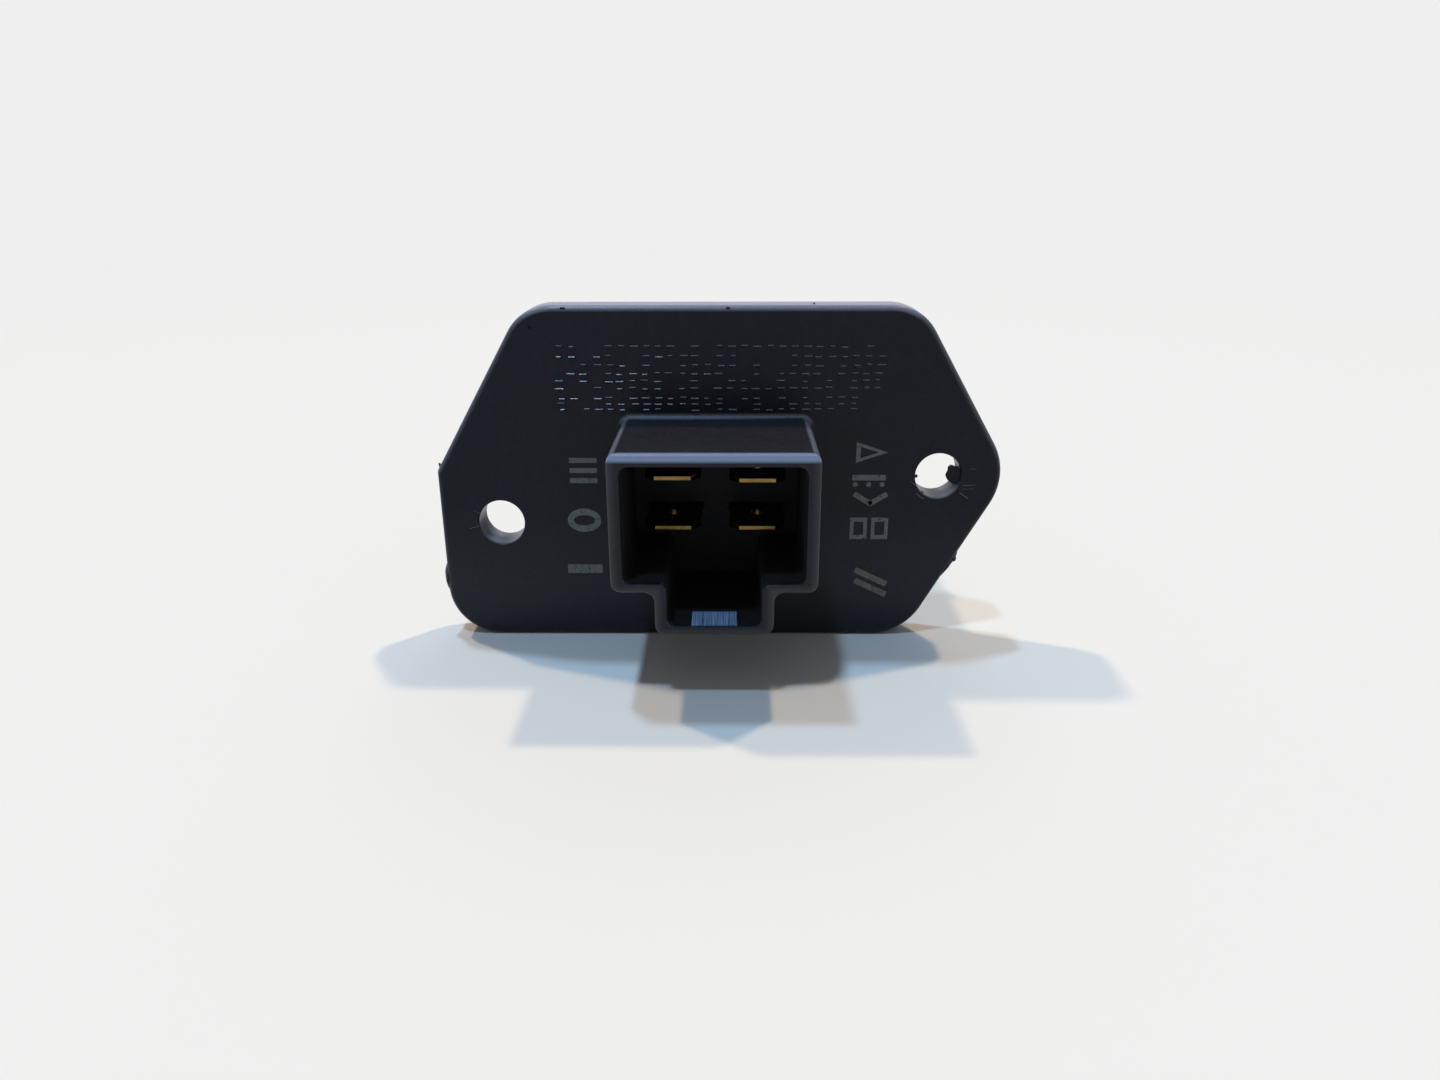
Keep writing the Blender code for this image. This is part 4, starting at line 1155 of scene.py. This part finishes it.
def make_blade(place):
    x, z, _ = BLADES[place]
    blade = block("brass_blade_" + place, (x - BLADE_HALF, BLADE_TIP, z - BLADE_THICK / 2),
                  (x + BLADE_HALF, TAIL_Y, z + BLADE_THICK / 2))
    slice_at(blade, "y", BLADE_TIP + TIP_LONG, BLADE_TIP + NECK_END)
    scale_ring(blade, BLADE_TIP, TIP_SHARE, (x, 0, z))
    scale_ring(blade, BLADE_TIP + TIP_LONG, NECK_SHARE, (x, 0, z))
    soften(blade, 0.07 * MM, 2, 12)
    cut(blade, drum("hole", (x, BLADE_TIP + CLICK_HOLE, z), "z", CLICK_HOLE_R, 3 * MM, 32))
    # the lower blades take the darker copy of the brass: painted shade
    brass = BRASS if place.startswith("upper") else SHADED_BRASS
    return hand_over(blade, brass, "terminal_brass", "blade_" + place)


for place in BLADES:
    make_blade(place)

# %% [markdown]
# ## Strips, lugs and rivets
#
# Each leg is one strip of plated steel, cut as an L. We draw the arm, pull the post out of
# its end, and pull the tab out of the post. At the outer edge a lug is pulled up and folded
# over to grip the coil's tail, so the fold gets a round outer bend.

# %% Strip sizes
ARM_Y = 7.2 * MM
ARM_BACK = 12.2 * MM
ARM_OVERLAP = 3.0 * MM             # past the blade's middle
POST_OUTER = 18.0 * MM
POST_INNER = 13.0 * MM
POST_START = 2.6 * MM
SHOULDER_Y = 31.5 * MM
TAB_END = 34.6 * MM
TAB_INNER = 14.0 * MM
TAB_X = 15.5 * MM
TAB_OUTER = 17.0 * MM
STRIP = 1.0 * MM                   # thickness
STRIP_EDGE = 0.09 * MM
INNER_BEND = 1.0 * MM
LUG_HALF = 1.3 * MM
LUG_REACH = 3.6 * MM
LUG_THICK = 0.6 * MM
LUG_ROOT = 0.8 * MM
FOLD_ROUND = 0.55 * MM
WIRE_GAP = 0.03 * MM               # on each side of a wire in its lug
COIL_Y = 20.0 * MM
TAIL_BEND = 1.3 * MM
WIRES = {                          # radii of the wire and the coil, and turns
    "upper": (0.5 * MM, 2.8 * MM, 10),
    "lower": (0.6 * MM, 3.6 * MM, 7),
}


def strip_faces(place):
    """The strip's face on the blade, and its outer face."""
    _, z, side = BLADES[place]
    inner = z + side * (BLADE_THICK / 2 + 0.03 * MM)
    return inner, inner + side * STRIP


# %% Pull a post, its tab and its lug out of an arm
def pull_post(strip, side):
    """Extend a strip backwards to the card and through it."""
    slice_at(strip, "x", side * POST_INNER)
    draw_out(strip, lambda face: face.normal.y > 0.9 and abs(middle(face).x) > POST_INNER,
             (0, SHOULDER_Y - ARM_BACK, 0))
    slice_at(strip, "x", side * TAB_INNER, side * TAB_OUTER)
    draw_out(strip, lambda face: face.normal.y > 0.9 and near(abs(middle(face).x), TAB_X, 0.3 * MM)
             and near(middle(face).y, SHOULDER_Y), (0, TAB_END - SHOULDER_Y, 0))


def pull_lug(strip, side, place, lug_y, wire_r):
    """Raise a lug at the strip's outer edge and fold it over the wire."""
    up = BLADES[place][2]
    face_z = strip_faces(place)[1]
    lip_z = face_z + up * (2 * wire_r + 2 * WIRE_GAP)
    slice_at(strip, "y", lug_y - LUG_HALF, lug_y + LUG_HALF)
    slice_at(strip, "x", side * (POST_OUTER - LUG_ROOT))

    def on_lug(face):
        return abs(middle(face).y - lug_y) < LUG_HALF

    def is_root(face):
        return on_lug(face) and face.normal.z * up > 0.9 and side * middle(face).x > POST_OUTER - LUG_ROOT

    draw_out(strip, is_root, (0, 0, lip_z - face_z))
    draw_out(strip, lambda face: is_root(face) and near(middle(face).z, lip_z), (0, 0, up * LUG_THICK))
    draw_out(strip, lambda face: on_lug(face) and face.normal.x * side < -0.9
             and (middle(face).z - lip_z) * up > 0, (-side * (LUG_REACH - LUG_ROOT), 0, 0))


def trim_strip(strip, side, place):
    """Clear the slicing marks, then round the fold, the inner corner and every edge."""
    pick(strip, "VERT", everything)
    merge_flats()
    up = BLADES[place][2]
    face_z = strip_faces(place)[1]

    def on_fold(edge):
        return (at("x", side * POST_OUTER)(edge) and not runs_along("z")(edge)
                and (edge.verts[0].co.z - face_z) * up > LUG_THICK * 1.2)

    def on_inner_corner(edge):
        return at("x", side * POST_INNER)(edge) and at("y", ARM_BACK)(edge)

    folds = round_edges(strip, on_fold, FOLD_ROUND, 4)
    corners = round_edges(strip, on_inner_corner, INNER_BEND, 5)
    soften(strip, STRIP_EDGE)
    print("folds and corners:", folds, corners)


# %% Three legs, the fuse's foot and the fuse's post
def make_leg(place):
    side = 1 if place.endswith("right") else -1
    low, high = sorted(strip_faces(place))
    left, right = sorted((BLADES[place][0] - side * ARM_OVERLAP, side * POST_OUTER))
    leg = block("steel_leg_" + place, (left, ARM_Y, low), (right, ARM_BACK, high))
    pull_post(leg, side)
    pull_lug(leg, side, place, COIL_Y + side * TAIL_BEND, WIRES[place.split("_")[0]][0])
    trim_strip(leg, side, place)
    return hand_over(leg, STEEL, "plated_steel", "leg_" + place)


def make_fuse_foot():
    low, high = sorted(strip_faces("upper_left"))
    foot = block("steel_fuse_foot", (-12.0 * MM, ARM_Y, low), (-2.0 * MM, ARM_BACK, high))
    round_edges(foot, lambda edge: not runs_along("x")(edge) and not runs_along("y")(edge), 0.5 * MM, 4)
    soften(foot, STRIP_EDGE)
    return hand_over(foot, STEEL, "plated_steel", "fuse_foot")


def make_fuse_post():
    low, high = sorted(strip_faces("upper_right"))
    post = block("steel_fuse_post", (-POST_OUTER, POST_START, low), (-POST_INNER, ARM_BACK, high))
    pull_post(post, -1)
    pull_lug(post, -1, "upper_right", COIL_Y - TAIL_BEND, WIRES["upper"][0])
    trim_strip(post, -1, "upper_right")
    return hand_over(post, STEEL, "plated_steel", "fuse_post")


for place in ("upper_right", "lower_left", "lower_right"):
    make_leg(place)
make_fuse_foot()
make_fuse_post()

# %% Rivets
HEAD_R = 1.7 * MM
HEAD_HALF = 0.35 * MM              # half a head's height
SHANK_R = 0.8 * MM
DIMPLE_R = 0.55 * MM


def make_rivet(place):
    x, z, side = BLADES[place]
    near_head = z - side * (BLADE_THICK / 2 + HEAD_HALF)
    far_head = strip_faces(place)[1] + side * HEAD_HALF
    heads = []
    for head_z in (near_head, far_head):
        head = drum("head", (x, RIVET_Y, head_z), "z", HEAD_R, 2 * HEAD_HALF, 40)
        outward = 1 if head_z > z else -1
        round_edges(head, at("z", head_z + outward * HEAD_HALF), 0.5 * MM, 4)
        heads.append(head)
    rivet = weld(*heads)
    shank_z = (near_head + far_head) / 2
    weld(rivet, drum("shank", (x, RIVET_Y, shank_z), "z", SHANK_R, abs(far_head - near_head), 40))
    cut(rivet, drum("dimple", (x, RIVET_Y, far_head + side * HEAD_HALF), "z", DIMPLE_R, 0.3 * MM, 32))
    rivet.name = "brass_rivet_" + place
    return hand_over(rivet, RIVET_BRASS, "rivet_brass", "rivet_" + place)


for place in BLADES:
    make_rivet(place)

# %% [markdown]
# ## Coils
#
# A coil is a circle of wire swept round an axis as it advances, which is just what the
# Screw modifier does. Its two ends are then picked, spun through the bend and pulled out
# straight to the lugs. The turns get a slow, slight unevenness, because the real ones are
# wound by machine but bent back into place by hand.

# %% Wind the turns
WIRE_SIDES = 14
TURN_STEPS = 30


def wind(name, start, axis, axis_point, turns, length, wire_r, facing):
    """Sweep a circle of wire round an axis. facing is the circle's normal axis."""
    coil = new_shape("circle", name, vertices=WIRE_SIDES, radius=wire_r, location=start - axis_point,
                     rotation=TURNS[facing])
    steps = round(abs(turns) * TURN_STEPS)
    modify(coil, "SCREW", axis=axis, angle=2 * pi * turns, screw_offset=length, steps=steps,
           render_steps=steps, use_smooth_shade=True)
    coil.location = axis_point
    return settle(coil)


def open_end(coil, place):
    """Select the open ring of wire nearest a place."""
    return pick(coil, "EDGE", lambda edge: edge.is_boundary and (middle(edge) - place).length < 1.5 * MM)


def handle(coil, place, way, size):
    """Push one turn along, as hands do. Its neighbours follow less and less."""
    push(coil, lambda v: (v.co - place).length < 1.2 * MM, way, use_proportional_edit=True,
         proportional_size=size, proportional_edit_falloff="SMOOTH")


def close_ends(coil):
    pick(coil, "EDGE", lambda edge: edge.is_boundary)
    bpy.ops.mesh.edge_face_add()
    heal()


# %% The two long coils
LONG_HALF = 10.0 * MM
TAIL_END = 16.9 * MM
UNEVEN_REACH = 6 * MM


def make_long_coil(row):
    wire_r, coil_r, turns = WIRES[row]
    up = BLADES[row + "_right"][2]
    wire_z = strip_faces(row + "_right")[1] + up * (wire_r + WIRE_GAP)
    axis_z = wire_z + up * coil_r
    start = Vector((-LONG_HALF, COIL_Y, wire_z))
    end = Vector((LONG_HALF, COIL_Y, wire_z))
    coil = wind("wire_coil_" + row, start, "X", Vector((-LONG_HALF, COIL_Y, axis_z)), up * turns,
                2 * LONG_HALF, wire_r, "y")
    for x, way in ((-3.5 * MM, (0.35 * MM, 0.15 * MM, 0)),
                   (4.5 * MM, (-0.3 * MM, -0.12 * MM, -up * 0.12 * MM))):
        handle(coil, Vector((x, COIL_Y, axis_z + up * coil_r)), way, UNEVEN_REACH)
    for place, side in ((start, -1), (end, 1)):
        found = open_end(coil, place)
        pivot = place + Vector((side * TAIL_BEND, 0, 0))
        bpy.ops.mesh.spin(steps=7, angle=pi / 2, center=pivot, axis=(0, 0, 1), dupli=False)
        pull((side * (TAIL_END - LONG_HALF - TAIL_BEND), 0, 0))
        leave()
        print(coil.name, "end", side, "from a ring of", found, "edges")
    close_ends(coil)
    return hand_over(coil, NICHROME, "nichrome", "coil_" + row)


make_long_coil("upper")
make_long_coil("lower")

# %% The side coil
SIDE_WIRE_R = 0.45 * MM
SIDE_LOW = 17.30 * MM
SIDE_HIGH = 22.75 * MM
SIDE_START_Y = 15.5 * MM
SIDE_END_Y = 26.0 * MM
SIDE_TURNS = -5.5


def make_side_coil():
    x = POST_INNER - 1.0 * MM - SIDE_WIRE_R - (SIDE_HIGH - SIDE_LOW) / 2
    start = Vector((x, SIDE_START_Y, SIDE_HIGH))
    end = Vector((x, SIDE_END_Y, SIDE_LOW))
    coil = wind("wire_coil_side", start, "Y", Vector((x, SIDE_START_Y, (SIDE_LOW + SIDE_HIGH) / 2)),
                SIDE_TURNS, SIDE_END_Y - SIDE_START_Y, SIDE_WIRE_R, "x")
    for place in (start, end):
        open_end(coil, place)
        pull((POST_OUTER - 0.3 * MM - x, 0, 0))
        leave()
    close_ends(coil)
    return hand_over(coil, NICHROME, "nichrome", "coil_side")


make_side_coil()

# %% [markdown]
# ## Thermal fuse
#
# A small metal can with a crimped neck, closed by a cone of epoxy, cuts the current when
# the coils get too hot. Can and seal are turned shapes. The leads are bent wire, so each
# follows a path with small round bends, and is made a mesh at once.

# %% Can and seal
FUSE_X = -10.0 * MM
FUSE_Z = 20.025 * MM
FUSE_CENTRE = (FUSE_X, 0, FUSE_Z)
FUSE_Y = 15.2 * MM
SEAL_Y = 24.2 * MM
SEAL_LONG = 2.5 * MM
CAN_R = 2.0 * MM
SEAL_R = 1.82 * MM
CRIMP = [(22.5, 0.955), (22.8, 0.93), (23.1, 0.955)]                  # y and width
SEAL_SHAPE = [(0.35, 0.93), (0.6, 0.78), (0.8, 0.6), (1.0, 0.36)]     # share of the length, and width


def make_can():
    can = drum("fuse_can", (FUSE_X, (FUSE_Y + SEAL_Y) / 2, FUSE_Z), "y", CAN_R, SEAL_Y - FUSE_Y, 56)
    slice_at(can, "y", *(y * MM for y in (22.2, 22.5, 22.8, 23.1, 23.4)))
    for y, size in CRIMP:
        scale_ring(can, y * MM, (size, 1, size), FUSE_CENTRE)
    round_edges(can, at("y", FUSE_Y), 0.5 * MM, 5)
    round_edges(can, at("y", SEAL_Y), 0.12 * MM, 2)
    return hand_over(can, CAN, "fuse_can", "fuse_case")


def make_seal():
    seal = new_shape("cylinder", "epoxy_seal", vertices=40, radius=SEAL_R, depth=SEAL_LONG,
                     location=(FUSE_X, SEAL_Y + SEAL_LONG / 2, FUSE_Z), rotation=(-pi / 2, 0, 0))
    for share, size in SEAL_SHAPE:
        y = SEAL_Y + share * SEAL_LONG
        if share < 1:
            slice_at(seal, "y", y)
        scale_ring(seal, y, (size, 1, size), FUSE_CENTRE)
    return hand_over(seal, EPOXY, "fuse_epoxy", "fuse_seal")


make_can()
make_seal()

# %% Bent leads
LEAD_R = 0.4 * MM
LEAD_BEND = 0.8 * MM
FRONT_PATH = [(-10, 15.2, 20.025), (-10, 13.7, 20.025), (-10, 12.1, 23.05), (-10, 8.3, 23.05)]
BACK_PATH = [(-10, 26.4, 20.025), (-10, 28.2, 20.025), (-13, 29.8, 22.8), (-16.8, 29.8, 22.8)]


def bent(points, bend, steps=6):
    """Points with each corner replaced by an arc."""
    path = [points[0]]
    for before, corner, after in zip(points, points[1:], points[2:]):
        way_in = (corner - before).normalized()
        way_out = (after - corner).normalized()
        turn = way_in.angle(way_out)
        start = corner - way_in * bend * sin(turn / 2) / cos(turn / 2)
        inward = (way_out - way_in * way_out.dot(way_in)).normalized()
        for step in range(steps + 1):
            angle = turn * step / steps
            path.append(start + way_in * bend * sin(angle) + inward * bend * (1 - cos(angle)))
    return path + [points[-1]]


def make_lead(name, points, node):
    line = bpy.data.curves.new(name, "CURVE")
    line.dimensions = "3D"
    line.bevel_depth = LEAD_R
    line.bevel_resolution = 4
    line.use_fill_caps = True
    path = bent([Vector(point) * MM for point in points], LEAD_BEND)
    spline = line.splines.new("POLY")
    spline.points.add(len(path) - 1)
    for point, place in zip(spline.points, path):
        point.co = (*place, 1)
    lead = new_object(name, line)
    hold(lead)
    bpy.ops.object.convert(target="MESH")
    pick(lead, "VERT", everything)
    heal()
    return hand_over(lead, TINNED, "tinned_copper", node)


make_lead("lead_front", FRONT_PATH, "fuse_lead_front")
make_lead("lead_back", BACK_PATH, "fuse_lead_back")

# %% [markdown]
# ## Support card
#
# A card of pressed paper and resin keeps the ends of the posts apart. It is stamped: the
# outline, a window for the air and four slots for the tabs come out in one stroke.

# %% Stamp the card
CARD_CORNER = 1.6 * MM
WINDOW = (11.0 * MM, 6.0 * MM, 13.95 * MM)      # half length, low and high
TAB_SLOT_HALF = 1.62 * MM
TAB_SLIP = 0.12 * MM


def make_card():
    low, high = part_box("support_card")
    front, back = low.y - MM, high.y + MM
    card = block("support_board", low, high)
    round_edges(card, runs_along("y"), CARD_CORNER, 6)
    window = block("window", (-WINDOW[0], front, WINDOW[1]), (WINDOW[0], back, WINDOW[2]))
    round_edges(window, runs_along("y"), 1.0 * MM, 5)
    cut(card, window)
    for place in ("upper_right", "lower_right"):
        slot_low, slot_high = sorted(strip_faces(place))
        for x in (-TAB_X, TAB_X):
            cut(card, block("slot", (x - TAB_SLOT_HALF, front, slot_low - TAB_SLIP),
                            (x + TAB_SLOT_HALF, back, slot_high + TAB_SLIP)))
    soften(card, 0.1 * MM, 2, 60)
    return hand_over(card, CARD, "phenolic_card", "support_card")


make_card()

# %% [markdown]
# ## Floor and light
#
# The part stands on a pale sheet of paper. Far from the part the paper gives way to the
# same plain brightness that the world shows behind it, so that no horizon is seen from
# any side. The lamps stand above: two cool, two warm, and a broad window behind. They add
# up to white, and where one is hidden the shadow takes the other's tint.

# %% Paper
PAPER = (0.84, 0.835, 0.835)
PAPER_GLOW = {"Color": (*PAPER, 1), "Strength": 1.03}
FADE_FROM = 0.16
FADE_TO = 0.60


def swap_when_seen(tree, share, shaded, plain, output):
    """Show the plain look instead, by a share, to camera, gloss and glass rays."""
    path = add(tree, "LightPath").outputs
    seen = largest(tree, *(path["Is " + kind + " Ray"] for kind in ("Camera", "Glossy", "Transmission")))
    mix = add(tree, "MixShader")
    for socket, source in zip(mix.inputs, (times(tree, share, seen), shaded.outputs[0], plain.outputs[0])):
        tree.links.new(source, socket)
    tree.links.new(mix.outputs[0], tree.nodes[output].inputs["Surface"])


def make_paper():
    material, tree, shader = new_finish("pale paper", Roughness=0.8, Specular_IOR_Level=0.2,
                                        Base_Color=(*PAPER, 1))
    distance = add(tree, "VectorMath", operation="LENGTH", links={"Vector": own_place(tree)})
    far = add(tree, "MapRange", interpolation_type="SMOOTHSTEP", links={"Value": distance.outputs["Value"]},
              values={"From Min": FADE_FROM, "From Max": FADE_TO})
    glow = add(tree, "Emission", values=PAPER_GLOW)
    swap_when_seen(tree, far.outputs["Result"], shader, glow, "Material Output")
    return material


def make_floor():
    floor = new_shape("grid", "paper_floor", x_subdivisions=8, y_subdivisions=8, size=8)
    floor.data.materials.append(make_paper())
    return floor


print("floor", [round(side, 2) for side in make_floor().dimensions])

# %% Lamps and world
COOL = (0.46, 0.69, 0.93)
WARM = (1.0, 0.76, 0.48)
LAMPS = [                          # name, aside, behind, strength, colour and spread in degrees
    ("cool lamp in front", -0.16, -0.26, 0.8, COOL, 4),
    ("cool lamp above", -0.15, 0.20, 1.05, COOL, 4),
    ("warm lamp left", -0.56, 0.42, 1.05, WARM, 3),
    ("warm lamp right", 0.36, 0.36, 1.05, WARM, 3),
    ("window", 0.1, 1.15, 0.3, (0.72, 0.85, 1.0), 38),
]
ROOM = {"Color": (0.92, 0.96, 1.0, 1), "Strength": 0.18}


def make_lamp(name, aside, behind, strength, colour, spread):
    """A far, soft lamp, so much aside (+X) and behind (+Y) for each metre of height."""
    data = bpy.data.lights.new(name, "SUN")
    data.energy = strength
    data.color = colour
    data.angle = radians(spread)
    lamp = new_object(name, data)
    lamp.location = Vector((aside, behind, 1)).normalized()
    lamp.rotation_euler = lamp.location.to_track_quat("Z", "Y").to_euler()


def make_world():
    """A dim room for the shading, and paper white round the horizon where it is seen."""
    world = bpy.data.worlds.new("studio")
    bpy.context.scene.world = world
    world.use_nodes = True
    tree = world.node_tree
    room = tree.nodes["Background"]
    for label, value in ROOM.items():
        room.inputs[label].default_value = value
    low = work(tree, "SUBTRACT", 1.0, ramp(tree, axes(tree, own_place(tree))["Z"], 0.35, 0.75))
    swap_when_seen(tree, low, room, add(tree, "Background", values=PAPER_GLOW), "World Output")


for lamp in LAMPS:
    make_lamp(*lamp)
make_world()
bpy.context.scene.view_settings.view_transform = "Standard"
print("lamps:", len(LAMPS))
